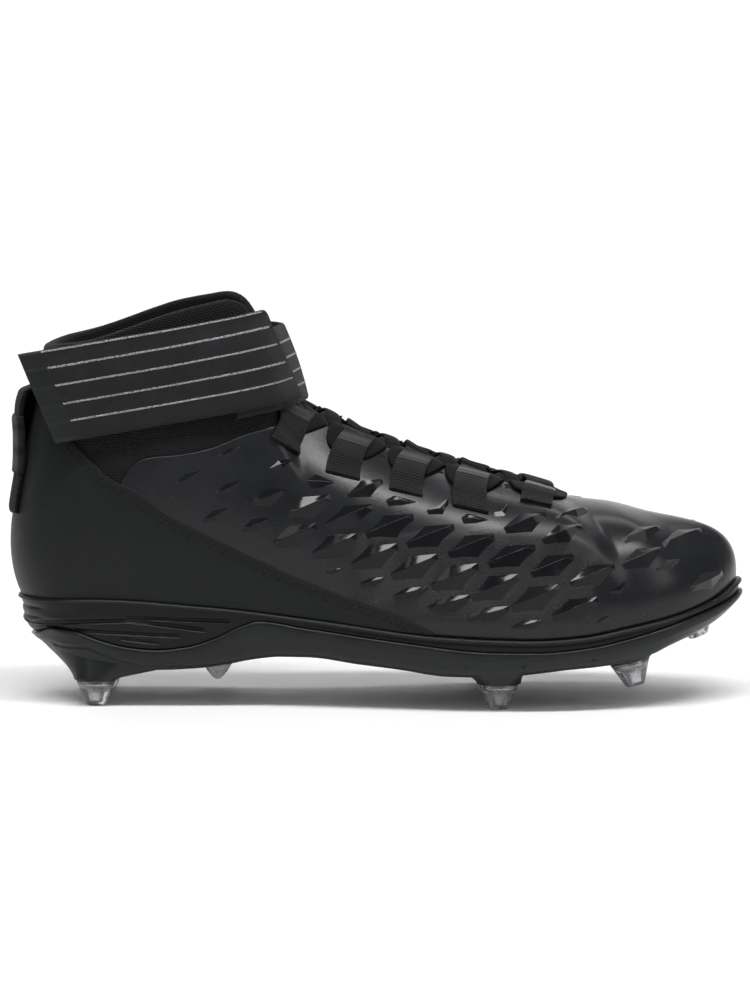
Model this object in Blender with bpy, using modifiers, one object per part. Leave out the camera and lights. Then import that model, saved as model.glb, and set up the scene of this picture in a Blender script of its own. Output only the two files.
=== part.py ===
"""A high-top American football cleat with an ankle strap and detachable studs: the right shoe.

Metres, +Z up, +X to the toe, +Y to the medial side (a right foot). The origin is on the floor, under the
middle of the shoe's box. The shoe is drawn from two closed lines: the feather line, where upper and sole
meet, and the topline, which runs round the collar, down both edges of the throat and along the middle of
the vamp. Every section of the upper is a curve from one line to the other.
"""

import math

import bmesh
import bpy
import numpy as np
from mathutils import Matrix, Vector
from mathutils.bvhtree import BVHTree

# Driving sizes
SOLE_LENGTH = 0.306  # back of the heel to the tip of the toe
LAST_WIDTH = 0.097  # the upper's bottom edge, across the ball
STACK_HEIGHT = 0.0442  # floor to the upper's bottom edge at the back of the heel
COLLAR_RISE = 0.1255  # from there to the highest point of the collar
UPPER_WALL = 0.0024
COLLAR_WALL = 0.0046  # the padded knit round the ankle
GAP = 0.0003  # between pieces that touch
SEAT_GAP = 0.0005  # between curved pieces that lie on each other

ORIGIN_BACK = 0.14965  # the origin, forward of the back of the heel
ORIGIN_SIDE = -0.00095  # and to the medial side of the heel's middle

QUARTER_THICKNESS = 0.0011
QUARTER_FOOT = 0.008  # its lower edge, as a share of the way up the wall
SCALE_HEIGHT = 0.0017
SCALE_LENGTH = 0.0200
SCALE_WIDTH = 0.0088
SCALE_SINK = 0.0009  # how deep a scale's foot is set into the wall

INSOLE_THICKNESS = 0.0035
INSOLE_INSET = 0.0045
TONGUE_THICKNESS = 0.0034
TONGUE_CROWN = 0.0040
ANKLE_CROWN = 0.0050  # more crown where the tongue meets the ankle
TONGUE_GAP = 0.0008
TONGUE_TOP = 4.64  # the section at which the tongue ends under the collar's front

SOLE_LIP = 0.0030  # how far the midsole stands out past the upper
RIB_DEPTH = 0.0012  # grooves between the ribs of the heel
HEEL_UNDERCUT = 0.0085  # how far the sole's underside starts ahead of the heel's back
PLATE_INSET = 0.0060  # from the plate's side to the edge of its underside

STUD_HEIGHT = 0.0105
STUD_RADIUS = 0.0085
STUD_TIP_RADIUS = 0.0042
STUD_RIM = 0.0022  # height of the stud's upright rim
BOSS_MARGIN = 0.0008  # boss past the stud's rim
BOSS_SINK = 0.0030
TOOTH_HEIGHT = 0.0120
TOOTH_WIDTH = 0.0130
TOOTH_THICKNESS = 0.0070

STRAP_WIDTH = 0.0400
STRAP_THICKNESS = 0.0018
FRONT_STRAP_WIDTH = 0.0330
STRAP_REACH = 0.1060  # length of the free panel, from the ankle's front to its end

LOOP_WIDTH = 0.0140
LOOP_LENGTH = 0.0185
LOOP_THICKNESS = 0.0012
LACE_WIDTH = 0.0056
LACE_THICKNESS = 0.0014

PULL_WIDTH = 0.0200
PULL_THICKNESS = 0.0032
PULL_STANDOFF = 0.0036
PULL_LENGTH = 0.0560

HALF_WIDTH = LAST_WIDTH / 2
HALF_RING = 11  # sections from the heel to the toe, on each side
RING = 2 * HALF_RING
THROAT_END = 8.8  # the section where the throat closes

# Sections from the heel's back to the toe. Along is a share of the sole's length, out of half the last
# width. Low lean tips the wall outwards at the sole, top lean tips it inwards at the topline, in degrees.
# The reaches are the lengths of the section's handles as shares of its chord.
SECTIONS = (
    # lateral along, lateral out, medial along, medial out, low lean, low reach, top lean, top reach
    (0.006, 0.000, 0.006, 0.000, 25, 0.30, 3, 0.42),
    (0.045, 0.505, 0.045, 0.495, 20, 0.30, 3, 0.38),
    (0.120, 0.640, 0.120, 0.620, 13, 0.30, 3, 0.34),
    (0.220, 0.670, 0.220, 0.640, 11, 0.30, 4, 0.33),
    (0.340, 0.700, 0.340, 0.620, 10, 0.32, 10, 0.33),
    (0.460, 0.805, 0.460, 0.660, 9, 0.34, 30, 0.34),
    (0.580, 0.938, 0.580, 0.800, 8, 0.35, 46, 0.36),
    (0.680, 1.000, 0.680, 0.930, 8, 0.36, 60, 0.36),
    (0.780, 0.950, 0.770, 0.960, 8, 0.38, 74, 0.38),
    (0.870, 0.753, 0.865, 0.900, 8, 0.42, 90, 0.42),
    (0.940, 0.433, 0.940, 0.700, 7, 0.44, 90, 0.42),
    (0.9965, -0.190, 0.9965, 0.190, 5, 0.42, 90, 0.42),
)

# The topline: the section it stands at, along, out, and its rise as a share of the collar's rise
TOPLINE = (
    (0.0, 0.035, 0.000, 0.841),
    (1.0, 0.064, 0.464, 0.857),
    (2.0, 0.118, 0.640, 0.885),
    (3.0, 0.195, 0.660, 0.952),
    (4.0, 0.273, 0.520, 1.000),
    (4.4, 0.314, 0.385, 0.988),
    (4.7, 0.339, 0.335, 0.885),
    (5.0, 0.359, 0.310, 0.761),
    (5.5, 0.385, 0.300, 0.645),
    (6.0, 0.442, 0.290, 0.570),
    (7.0, 0.555, 0.270, 0.470),
    (8.0, 0.672, 0.240, 0.390),
    (8.5, 0.727, 0.165, 0.352),
    (THROAT_END, 0.756, 0.000, 0.329),
    (9.4, 0.812, 0.000, 0.310),
    (10.0, 0.864, 0.000, 0.280),
    (10.6, 0.914, 0.000, 0.256),
    (11.0, 0.934, 0.000, 0.245),
)

# Heights along the sole, as shares of the stack height: the feather line, the line where the plate's side
# meets the midsole, and the edge of the plate's underside
FEATHER = (
    (0.000, 1.000), (0.111, 1.030), (0.260, 0.964), (0.416, 0.845), (0.590, 0.711), (0.715, 0.686),
    (0.776, 0.709), (0.839, 0.780), (0.901, 0.859), (0.963, 0.984), (1.000, 1.136),
)
PLATE_LINE = (
    (0.000, 0.610), (0.018, 0.660), (0.043, 0.735), (0.079, 0.720), (0.114, 0.645), (0.150, 0.584),
    (0.192, 0.557), (0.235, 0.589), (0.274, 0.675), (0.309, 0.790), (0.335, 0.840), (0.398, 0.780),
    (0.528, 0.666), (0.652, 0.585), (0.715, 0.581), (0.777, 0.612), (0.839, 0.690), (0.932, 0.862),
    (0.988, 0.985), (1.000, 1.040),
)
UNDERSIDE = (
    (0.000, 0.570), (0.036, 0.480), (0.070, 0.398), (0.110, 0.352), (0.192, 0.345), (0.249, 0.364),
    (0.292, 0.405), (0.327, 0.455), (0.362, 0.480), (0.398, 0.480), (0.469, 0.423), (0.528, 0.380),
    (0.590, 0.327), (0.650, 0.323), (0.715, 0.361), (0.761, 0.395), (0.808, 0.418), (0.876, 0.500),
    (0.901, 0.570), (0.938, 0.660), (0.963, 0.735), (0.988, 0.860), (1.000, 0.960),
)

# The seam of the heel quarter: along, and height as a share of the stack height and collar rise together
SEAM = (
    (0.000, 0.784), (0.035, 0.754), (0.058, 0.700), (0.076, 0.665), (0.107, 0.609), (0.130, 0.571),
    (0.161, 0.544), (0.205, 0.487), (0.260, 0.436), (0.320, 0.383), (0.431, 0.297), (0.528, 0.238),
    (0.575, 0.195), (0.620, 0.120),
)

# Studs: along, out, share of the stack height at which the tip stands, forward tilt in degrees, and height
# as a share of the full stud
STUDS = {
    "stud_heel_lateral": (0.108, -0.52, 0.0, 0, 1.0),
    "stud_heel_medial": (0.116, 0.48, 0.0, 0, 1.0),
    "stud_ball_lateral": (0.664, -0.76, 0.0, 0, 1.0),
    "stud_ball_medial": (0.650, 0.70, 0.0, 0, 1.0),
    "stud_front_lateral": (0.853, -0.60, 0.195, 13, 1.0),
    "stud_front_medial": (0.850, 0.66, 0.195, 13, 1.0),
    "stud_toe": (0.943, 0.50, 0.490, 22, 0.62),
}
# The lug above each stud: the stretch of the plate's side that it grows from
LUG_STRETCH = {
    "heel": (0.035, 0.230),
    "ball": (0.590, 0.715),
    "front": (0.795, 0.880),
}
TOOTH = (0.274, 0.50)  # along, out

LOOP_SECTIONS = (5.68, 6.30, 6.96, 7.60, 8.20)  # the five webbing loops of each side
LOOP_HALF_STEP = 0.335  # from a loop's middle to where the lace enters, in sections
LACE_BAR_STEP = 0.09  # from the lowest entry forward to the lace's bar
LOOP_SHIFT = 0.05  # how much nearer to the middle it leaves
LOOP_LEAN = 0.27  # how far back a loop leans, per length down the wall
LACE_DOWN = 0.42  # how far down a loop the lace runs, as a share of its length
LACE_REST = 0.0010  # from what the lace passes to its underside

# Heel ribs: level as a share of the way from the feather line down to the plate line, and the stretch of
# the sole where that level is a groove
MIDSOLE_LEVELS = (
    # level, groove from, groove to
    (0.20, None, None),
    (0.30, 0.125, 0.300),
    (0.38, None, None),
    (0.48, 0.000, 0.265),
    (0.58, None, None),
    (0.68, 0.065, 0.235),
    (0.77, None, None),
    (0.86, 0.135, 0.205),
)

COLORS = {
    "knit": (0.020, 0.021, 0.024, 1),
    "skin": (0.016, 0.017, 0.019, 1),
    "quarter": (0.018, 0.020, 0.022, 1),
    "foam": (0.022, 0.023, 0.025, 1),
    "plate": (0.020, 0.021, 0.022, 1),
    "stud": (0.80, 0.81, 0.82, 1),
    "webbing": (0.014, 0.014, 0.016, 1),
    "elastic": (0.024, 0.024, 0.027, 1),
}


def ring_spline(values):
    """A smooth closed curve through the rows of values, one row to each whole number of its parameter."""
    values = np.asarray(values, float)
    count = len(values)
    matrix = np.zeros((count, count))
    for i in range(count):
        matrix[i, i] = 4
        matrix[i, i - 1] += 1
        matrix[i, (i + 1) % count] += 1
    bend = 6 * (np.roll(values, -1, 0) - 2 * values + np.roll(values, 1, 0))
    moments = np.linalg.solve(matrix, bend)

    def at(r):
        r = np.mod(np.asarray(r, float), count)
        i = np.minimum(r.astype(int), count - 1)
        j = (i + 1) % count
        t = (r - i)[..., None]
        s = 1 - t
        curve = s * values[i] + t * values[j]
        return curve + ((s**3 - s) * moments[i] + (t**3 - t) * moments[j]) / 6

    return at


def even_spline(stations, values):
    """A smooth curve through the rows at their stations, level at both ends, as on a mirrored line."""
    x = np.asarray(stations, float)
    y = np.asarray(values, float).reshape(len(x), -1)
    count = len(x)
    matrix = np.zeros((count, count))
    bend = np.zeros_like(y)
    step = np.diff(x)
    rate = np.diff(y, axis=0) / step[:, None]
    for i in range(1, count - 1):
        matrix[i, i - 1 : i + 2] = step[i - 1], 2 * (step[i - 1] + step[i]), step[i]
        bend[i] = 6 * (rate[i] - rate[i - 1])
    matrix[0, :2] = 2 * step[0], step[0]
    bend[0] = 6 * rate[0]
    matrix[-1, -2:] = step[-1], 2 * step[-1]
    bend[-1] = -6 * rate[-1]
    moments = np.linalg.solve(matrix, bend)

    def at(s):
        s = np.asarray(s, float)
        i = np.clip(np.searchsorted(x, s, "right") - 1, 0, count - 2)
        h = step[i][..., None]
        t = ((s - x[i]) / step[i])[..., None]
        u = 1 - t
        curve = u * y[i] + t * y[i + 1]
        return curve + ((u**3 - u) * moments[i] + (t**3 - t) * moments[i + 1]) * h * h / 6

    return at


def steady_curve(rows):
    """A curve through (x, y) rows that never swings past them."""
    x, y = np.asarray(rows, float).T
    step = np.diff(x)
    rate = np.diff(y) / step
    slope = np.zeros(len(x))
    for i in range(1, len(x) - 1):
        if rate[i - 1] * rate[i] > 0:
            a, b = 2 * step[i] + step[i - 1], step[i] + 2 * step[i - 1]
            slope[i] = (a + b) / (a / rate[i - 1] + b / rate[i])
    slope[0], slope[-1] = rate[0], rate[-1]

    def at(s):
        s = np.clip(np.asarray(s, float), x[0], x[-1])
        i = np.clip(np.searchsorted(x, s, "right") - 1, 0, len(x) - 2)
        t = (s - x[i]) / step[i]
        rise = (2 * t**3 - 3 * t**2 + 1) * y[i] + (3 * t**2 - 2 * t**3) * y[i + 1]
        return rise + step[i] * ((t**3 - 2 * t**2 + t) * slope[i] + (t**3 - t**2) * slope[i + 1])

    return at


def smooth_step(low, high, value):
    t = np.clip((np.asarray(value, float) - low) / (high - low), 0, 1)
    return t * t * (3 - 2 * t)


def unit(vectors):
    return vectors / np.linalg.norm(vectors, axis=-1, keepdims=True)


def station(along):
    """The X of a share of the sole's length."""
    return along * SOLE_LENGTH - ORIGIN_BACK


def share_at(x):
    return (x + ORIGIN_BACK) / SOLE_LENGTH


def feather_plan():
    """The feather line in plan: the lateral side from heel to toe, then the medial side back."""
    lateral = [(station(s[0]), -s[1] * HALF_WIDTH - ORIGIN_SIDE) for s in SECTIONS]
    medial = [(station(s[2]), s[3] * HALF_WIDTH - ORIGIN_SIDE) for s in SECTIONS[1:-1]]
    return ring_spline(lateral + medial[::-1])


PLAN = feather_plan()
FEATHER_HEIGHT = steady_curve(FEATHER)
PLATE_HEIGHT = steady_curve(PLATE_LINE)
UNDERSIDE_HEIGHT = steady_curve(UNDERSIDE)
SEAM_HEIGHT = steady_curve(SEAM)
TOP_OUT = steady_curve([(row[0], row[2]) for row in TOPLINE])
TOP_LINE = even_spline([row[0] for row in TOPLINE], [(row[1], row[3]) for row in TOPLINE])
HANDLES = even_spline(range(len(SECTIONS)), [(s[4], s[5], s[7]) for s in SECTIONS])
TOP_LEAN = steady_curve([(i, s[6]) for i, s in enumerate(SECTIONS[:9])] + [(THROAT_END, 90), (11, 90)])


def section_of(r):
    """The section number and the side, -1 lateral and 1 medial, of a place on the ring."""
    r = np.mod(np.asarray(r, float), RING)
    return np.minimum(r, RING - r), np.where(r > HALF_RING, 1.0, -1.0)


def plan_normal(r):
    step = 0.01
    along = unit(PLAN(r + step) - PLAN(r - step))
    return np.stack([along[..., 1], -along[..., 0], np.zeros_like(along[..., 0])], -1)


def sole_level(curve, x):
    return STACK_HEIGHT * curve(share_at(x))


def top_point(section, side):
    line = TOP_LINE(section)
    out = TOP_OUT(section) * HALF_WIDTH
    height = STACK_HEIGHT + line[..., 1] * COLLAR_RISE
    return np.stack([station(line[..., 0]), side * out - ORIGIN_SIDE, height], -1)


def top_slope(section):
    """The rise of the topline per metre forward."""
    step = 0.02
    low = top_point(np.clip(section - step, 0, HALF_RING), 1.0)
    high = top_point(np.clip(section + step, 0, HALF_RING), 1.0)
    return (high[..., 2] - low[..., 2]) / (high[..., 0] - low[..., 0])


def wall_surface(r, v):
    """Points on the upper's outside: v runs from 0 at the feather line to 1 at the topline."""
    r = np.asarray(r, float)
    v = np.asarray(v, float)
    section, side = section_of(r)
    plan = PLAN(r)
    foot = np.concatenate([plan, (sole_level(FEATHER_HEIGHT, plan[:, 0]) + GAP)[:, None]], 1)
    top = top_point(section, side)
    normal = plan_normal(r)
    handles = HANDLES(section)
    lean = np.radians(handles[:, 0])[:, None]
    top_lean = np.radians(TOP_LEAN(section))[:, None]
    up = np.array([0.0, 0.0, 1.0])
    inward = -normal
    inward[:, 2] = inward[:, 0] * top_slope(section) * smooth_step(8.2, THROAT_END, section)
    inward = unit(inward)
    chord = np.linalg.norm(top - foot, axis=1)[:, None]
    low_handle = foot + (np.cos(lean) * up + np.sin(lean) * normal) * chord * handles[:, 1:2]
    top_handle = top - (np.cos(top_lean) * up + np.sin(top_lean) * inward) * chord * handles[:, 2:3]
    corners = [c[:, None, :] for c in (foot, low_handle, top_handle, top)]
    t = v[..., None] if v.ndim == 2 else v[None, :, None]
    s = 1 - t
    return s**3 * corners[0] + 3 * s * s * t * corners[1] + 3 * s * t * t * corners[2] + t**3 * corners[3]


def wall_normals(r, v):
    """The upper's outward normals, exact along the middle of the vamp so that both sides meet there."""
    r = np.asarray(r, float)
    v = np.asarray(v, float)
    grid_v = v if v.ndim == 2 else np.tile(v, (len(r), 1))
    step = 0.004
    across = wall_surface(r + step, grid_v) - wall_surface(r - step, grid_v)
    high, low = np.minimum(grid_v + step, 1), np.maximum(grid_v - step, 0)
    upward = wall_surface(r, high) - wall_surface(r, low)
    normals = unit(np.cross(across, upward))
    section, _ = section_of(r)
    slope = top_slope(section)
    middle = unit(np.stack([-slope, np.zeros_like(slope), np.ones_like(slope)], -1))
    on_middle = (section[:, None] >= THROAT_END - 1e-9) & (grid_v > 1 - 1e-9)
    return np.where(on_middle[..., None], middle[:, None, :], normals)


def wall_thickness(points):
    """Thin over the foot, padded round the ankle."""
    rise = (points[..., 2] - STACK_HEIGHT) / COLLAR_RISE
    return UPPER_WALL + (COLLAR_WALL - UPPER_WALL) * smooth_step(0.55, 0.80, rise)


# Columns of the faceted shell, shared by upper, quarter, tongue and sole, so that their facets agree
SIDE_COLUMNS = np.concatenate([np.linspace(0, THROAT_END, 23), np.linspace(THROAT_END, HALF_RING, 7)[1:]])
RING_COLUMNS = np.concatenate([SIDE_COLUMNS, RING - SIDE_COLUMNS[-2:0:-1]])
WALL_ROWS = np.array([0, 0.07, 0.16, 0.27, 0.39, 0.52, 0.65, 0.77, 0.89, 1.0])


def material(name, color, roughness, metallic=0.0, transmission=0.0):
    made = bpy.data.materials.new(name)
    made.use_nodes = True
    shader = made.node_tree.nodes["Principled BSDF"]
    shader.inputs["Base Color"].default_value = color
    shader.inputs["Roughness"].default_value = roughness
    shader.inputs["Metallic"].default_value = metallic
    shader.inputs["Transmission Weight"].default_value = transmission
    made.diffuse_color = color
    return made


def make_object(name, points, faces, finish, collection, merge=1e-6):
    """An object from points and faces, with points that coincide made one and its faces turned outwards."""
    body = bmesh.new()
    verts = [body.verts.new(p) for p in np.asarray(points, float).reshape(-1, 3)]
    for face in faces:
        corners = []
        for i in face:
            if verts[i] not in corners:
                corners.append(verts[i])
        body.faces.new(corners)
    bmesh.ops.remove_doubles(body, verts=body.verts, dist=merge)
    bmesh.ops.dissolve_degenerate(body, edges=body.edges, dist=merge)
    bmesh.ops.recalc_face_normals(body, faces=body.faces)
    mesh = bpy.data.meshes.new(name)
    body.to_mesh(mesh)
    body.free()
    mesh.materials.append(finish)
    made = bpy.data.objects.new(name, mesh)
    collection.objects.link(made)
    return made


def grid_faces(columns, rows, start=0, closed=False):
    """Quads of a grid stored column by column."""
    faces = []
    for i in range(columns if closed else columns - 1):
        j = (i + 1) % columns
        for k in range(rows - 1):
            a, b = start + i * rows + k, start + j * rows + k
            faces.append((a, b, b + 1, a + 1))
    return faces


def make_sheet(name, grid, thickness, finish, collection, offset=1.0, closed=False):
    """A sheet of even thickness on one side of a grid of points: its outside for an offset of 1."""
    columns, rows = grid.shape[:2]
    sheet = make_object(name, grid, grid_faces(columns, rows, closed=closed), finish, collection)
    outward = grid_outward(grid)
    turned = sum(f.normal.dot(Vector(outward)) for f in sheet.data.polygons)
    solidify = sheet.modifiers.new("Thickness", "SOLIDIFY")
    solidify.thickness = thickness
    solidify.offset = offset if turned > 0 else -offset
    solidify.use_even_offset = True
    return sheet


def grid_outward(grid):
    """The mean direction that a grid's columns and rows turn to, by the right hand."""
    across = np.gradient(grid, axis=0)
    up = np.gradient(grid, axis=1)
    return np.cross(across, up).sum((0, 1))


def make_ribbon(name, path, normals, width, thickness, finish, collection, weft=None):
    """A flat band with square edges along a path, its width square to the path or along the weft."""
    path, normals = np.asarray(path), unit(np.asarray(normals))
    along = unit(np.gradient(path, axis=0))
    side = unit(np.cross(along, normals))
    if weft is not None:
        side = unit(weft - normals * (normals @ weft)[:, None])
        side *= np.sign((np.cross(along, normals) @ weft).sum())
    lift = unit(np.cross(side, along)) * thickness / 2
    edge = side * width / 2
    rings = np.stack([path - edge - lift, path + edge - lift, path + edge + lift, path - edge + lift], 1)
    count = len(path)
    faces = []
    for i in range(count - 1):
        for k in range(4):
            a, b = i * 4 + k, i * 4 + (k + 1) % 4
            faces.append((a, b, b + 4, a + 4))
    faces += [(3, 2, 1, 0), tuple(range(count * 4 - 4, count * 4))]
    return make_object(name, rings, faces, finish, collection)


def apply_modifiers(target):
    bpy.context.view_layer.update()
    mesh = bpy.data.meshes.new_from_object(target.evaluated_get(bpy.context.evaluated_depsgraph_get()))
    target.modifiers.clear()
    target.data = mesh


def join_solids(target, others):
    """Adds other solids to the target and removes them."""
    for other in others:
        union = target.modifiers.new("Join", "BOOLEAN")
        union.operation = "UNION"
        union.use_self = True
        union.object = other
    apply_modifiers(target)
    for other in others:
        bpy.data.objects.remove(other)


def join_loose(name, parts, finish, collection):
    """One object from several solids that don't touch each other, as a tool for a Boolean."""
    body = bmesh.new()
    for part in parts:
        body.from_mesh(part.data)
        bpy.data.objects.remove(part)
    mesh = bpy.data.meshes.new(name)
    body.to_mesh(mesh)
    body.free()
    mesh.materials.append(finish)
    made = bpy.data.objects.new(name, mesh)
    collection.objects.link(made)
    return made


def hull_object(name, points, finish, collection):
    """The convex solid round a set of points."""
    body = bmesh.new()
    for p in points:
        body.verts.new(p)
    made = bmesh.ops.convex_hull(body, input=body.verts)
    loose = [v for v in body.verts if not v.link_faces]
    bmesh.ops.delete(body, geom=loose, context="VERTS")
    del made
    bmesh.ops.recalc_face_normals(body, faces=body.faces)
    mesh = bpy.data.meshes.new(name)
    body.to_mesh(mesh)
    body.free()
    mesh.materials.append(finish)
    result = bpy.data.objects.new(name, mesh)
    collection.objects.link(result)
    return result


def make_upper(finish, collection):
    """The hollow upper: one wall from the feather line to the topline, open at the collar and throat and
    underneath, with the scales of the moulded skin raised from it."""
    outside = wall_surface(RING_COLUMNS, WALL_ROWS)
    normals = wall_normals(RING_COLUMNS, WALL_ROWS)
    thickness = wall_thickness(outside)[..., None]
    inside = outside - normals * thickness
    edge = outside[:, -1] - normals[:, -1] * thickness[:, -1] / 2
    edge[:, 2] += 0.3 * thickness[:, -1, 0]
    section, _ = section_of(RING_COLUMNS)
    columns, rows = outside.shape[:2]
    inner_start = columns * rows
    edge_start = 2 * inner_start
    faces = grid_faces(columns, rows, closed=True) + grid_faces(columns, rows, inner_start, closed=True)
    for i in range(columns):
        j = (i + 1) % columns
        faces.append((i * rows, j * rows, inner_start + j * rows, inner_start + i * rows))
        if min(section[i], section[j]) < THROAT_END - 1e-6:
            top_i, top_j = (i + 1) * rows - 1, (j + 1) * rows - 1
            faces.append((top_i, top_j, edge_start + j, edge_start + i))
            faces.append((edge_start + i, edge_start + j, inner_start + top_j, inner_start + top_i))
    closed_edge = edge.copy()
    closed_edge[section >= THROAT_END - 1e-6] = (outside[:, -1] - normals[:, -1] * thickness[:, -1] / 2)[
        section >= THROAT_END - 1e-6
    ]
    points = np.concatenate([outside.reshape(-1, 3), inside.reshape(-1, 3), closed_edge])
    upper = make_object("upper", points, faces, finish, collection)
    scales = join_loose("scale_tool", make_scales(finish, collection), finish, collection)
    join_solids(upper, [scales])
    return upper


class SideMap:
    """Finds places on one side of the upper by where they are seen from that side."""

    def __init__(self, first, last, side):
        sections = np.linspace(first, last, 260)
        self.r = sections if side < 0 else RING - sections
        self.v = np.linspace(0, 1, 120)
        self.points = wall_surface(self.r, self.v)

    def find(self, x, z):
        """The ring place and v of the nearest point."""
        miss = (self.points[..., 0] - x) ** 2 + (self.points[..., 2] - z) ** 2
        i, k = np.unravel_index(np.argmin(miss), miss.shape)
        return self.r[i], self.v[k]


# The rows of scales, seen from the side: where a row starts and ends, along and as a share of the stack
# height and collar rise together, how many it has, and how large they are at its back and front
SCALE_ROWS = (
    (0.295, 0.632, 0.752, 0.430, 9, 0.62, 0.95),
    (0.236, 0.571, 0.738, 0.366, 10, 0.52, 1.00),
    (0.274, 0.482, 0.768, 0.262, 10, 0.52, 1.00),
    (0.382, 0.368, 0.702, 0.226, 7, 0.65, 0.90),
    (0.861, 0.368, 0.962, 0.374, 3, 1.05, 0.90),
    (0.861, 0.424, 0.908, 0.420, 2, 0.90, 0.80),
)


def make_scales(finish, collection):
    """The raised scales on both sides: low hipped roofs, their long axes rising to the toe."""
    made = []
    seam_margin = 0.0035
    for side in (-1, 1):
        places = SideMap(3.2, HALF_RING - 0.2, side)
        for first, first_rise, last, last_rise, count, back_size, front_size in SCALE_ROWS:
            for k in range(count):
                share = k / (count - 1)
                x = station(first + (last - first) * share)
                z = (STACK_HEIGHT + COLLAR_RISE) * (first_rise + (last_rise - first_rise) * share)
                r, v = places.find(x, z)
                centre = wall_surface([r], [v])[0, 0]
                seam = (STACK_HEIGHT + COLLAR_RISE) * SEAM_HEIGHT(share_at(centre[0]))
                size = back_size + (front_size - back_size) * share
                if centre[2] < seam + seam_margin + SCALE_WIDTH * size / 2:
                    continue
                made.append(make_scale(len(made), r, v, side, size, finish, collection))
    return made


def make_scale(number, r, v, side, size, finish, collection):
    centre = wall_surface([r], [v])[0, 0]
    normal = wall_normals([r], [v])[0, 0]
    forward = np.array([1.0, 0.0, 0.42])
    forward = unit(forward - normal * (forward @ normal))
    across = np.cross(normal, forward) * (1 if side < 0 else -1)
    half_long, half_wide = SCALE_LENGTH * size / 2, SCALE_WIDTH * size / 2
    outline = ((-1.0, -0.35), (-0.25, -1.0), (0.75, -0.7), (1.0, 0.35), (0.25, 1.0), (-0.75, 0.7))
    ridge = ((-0.5, -0.1), (0.45, 0.1))
    points = []
    for lift, corners, scale in ((-SCALE_SINK, outline, 1.0), (SCALE_HEIGHT * size, ridge, 1.0)):
        for a, b in corners:
            flat = centre + forward * a * half_long * scale + across * b * half_wide * scale
            points.append(drop_on_wall(flat, normal, r, v, lift))
    return hull_object(f"scale_{number}", points, finish, collection)


def drop_on_wall(point, normal, r, v, lift):
    """The point moved along the normal to the wall's local bend, then lifted off it."""
    step_r, step_v = 0.06, 0.03
    local_r = np.array([r - step_r, r, r + step_r])
    local_v = np.clip([v - step_v, v, v + step_v], 0, 1)
    patch = wall_surface(local_r, local_v)
    centre = patch[1, 1]
    offset = patch - centre
    heights = offset @ normal
    flat = (offset - heights[..., None] * normal).reshape(-1, 3)
    first = unit(flat[7] - flat[1])
    second = np.cross(normal, first)
    a, b = flat @ first, flat @ second
    terms = np.stack([a * a, a * b, b * b], 1)
    bend = np.linalg.lstsq(terms, heights.reshape(-1), rcond=None)[0]
    across = point - centre
    pa, pb = across @ first, across @ second
    drop = bend @ np.array([pa * pa, pa * pb, pb * pb])
    return point + normal * (drop + lift)


def seam_rows(r):
    """For each place on the ring, the v at which the wall meets the quarter's seam."""
    v = np.linspace(0, 1, 200)
    points = wall_surface(r, v)
    seam = (STACK_HEIGHT + COLLAR_RISE) * SEAM_HEIGHT(share_at(points[..., 0]))
    above = points[..., 2] > seam
    return v[np.where(above.any(1), above.argmax(1), len(v) - 1)]


def make_quarter(finish, collection):
    """The heel quarter: one smooth overlay from the medial seam round the heel to the lateral seam."""
    reach = 6.9
    sections = SIDE_COLUMNS[SIDE_COLUMNS < reach]
    r = np.concatenate([-sections[:0:-1], sections])
    top = seam_rows(r)
    keep = top > QUARTER_FOOT + 0.004
    r, top = r[keep], top[keep]
    v = np.clip(WALL_ROWS[None, :], QUARTER_FOOT, top[:, None])
    grid = wall_surface(r, v) + wall_normals(r, v) * SEAT_GAP
    return make_sheet("heel_quarter", grid, QUARTER_THICKNESS, finish, collection)


def tongue_grid(sections):
    """The tongue's outside: under the throat's edges on both sides, with a crown between them."""
    flap = np.array([0.80, 0.90, 1.0])
    sides = []
    for r in (sections, RING - sections):
        points = wall_surface(r, flap)
        under = wall_thickness(points)[..., None] + TONGUE_GAP
        sides.append(points - wall_normals(r, flap) * under)
    lateral, medial = sides[0], sides[1][:, ::-1]
    start, end = lateral[:, -1:], medial[:, :1]
    slope = top_slope(sections)
    lift = unit(np.stack([-slope, np.zeros_like(slope), np.ones_like(slope)], -1))
    lift *= np.where(slope > 0, -1, 1)[:, None]
    share = np.array([0.25, 0.5, 0.75])[None, :, None]
    wide = smooth_step(0, 0.02, np.linalg.norm(end - start, axis=2))[:, :, None]
    crown = TONGUE_CROWN + ANKLE_CROWN * (1 - smooth_step(4.7, 5.9, sections))
    bridge = start + (end - start) * share
    bridge = bridge + (lift * crown[:, None])[:, None, :] * wide * 4 * share * (1 - share)
    return np.concatenate([lateral, bridge, medial], 1)


def make_tongue(finish, collection):
    sections = SIDE_COLUMNS[(SIDE_COLUMNS > 4.6) & (SIDE_COLUMNS < 9.4)]
    sections = np.concatenate([[TONGUE_TOP], sections])
    grid = tongue_grid(sections)
    return make_sheet("tongue", grid, TONGUE_THICKNESS, finish, collection, offset=-1.0)


def ladder(ring_start, columns, upward):
    """Triangles across a closed ring, from each lateral column to the medial one that faces it."""
    faces = []
    half = columns // 2
    for i in range(half):
        a, b = ring_start + i, ring_start + i + 1
        c, d = ring_start + (columns - i) % columns, ring_start + (columns - i - 1) % columns
        if i > 0:
            faces.append((a, b, c) if upward else (a, c, b))
        if i < half - 1:
            faces.append((b, d, c) if upward else (b, c, d))
        elif i == 0:
            faces.append((a, b, d))
    return faces


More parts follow.
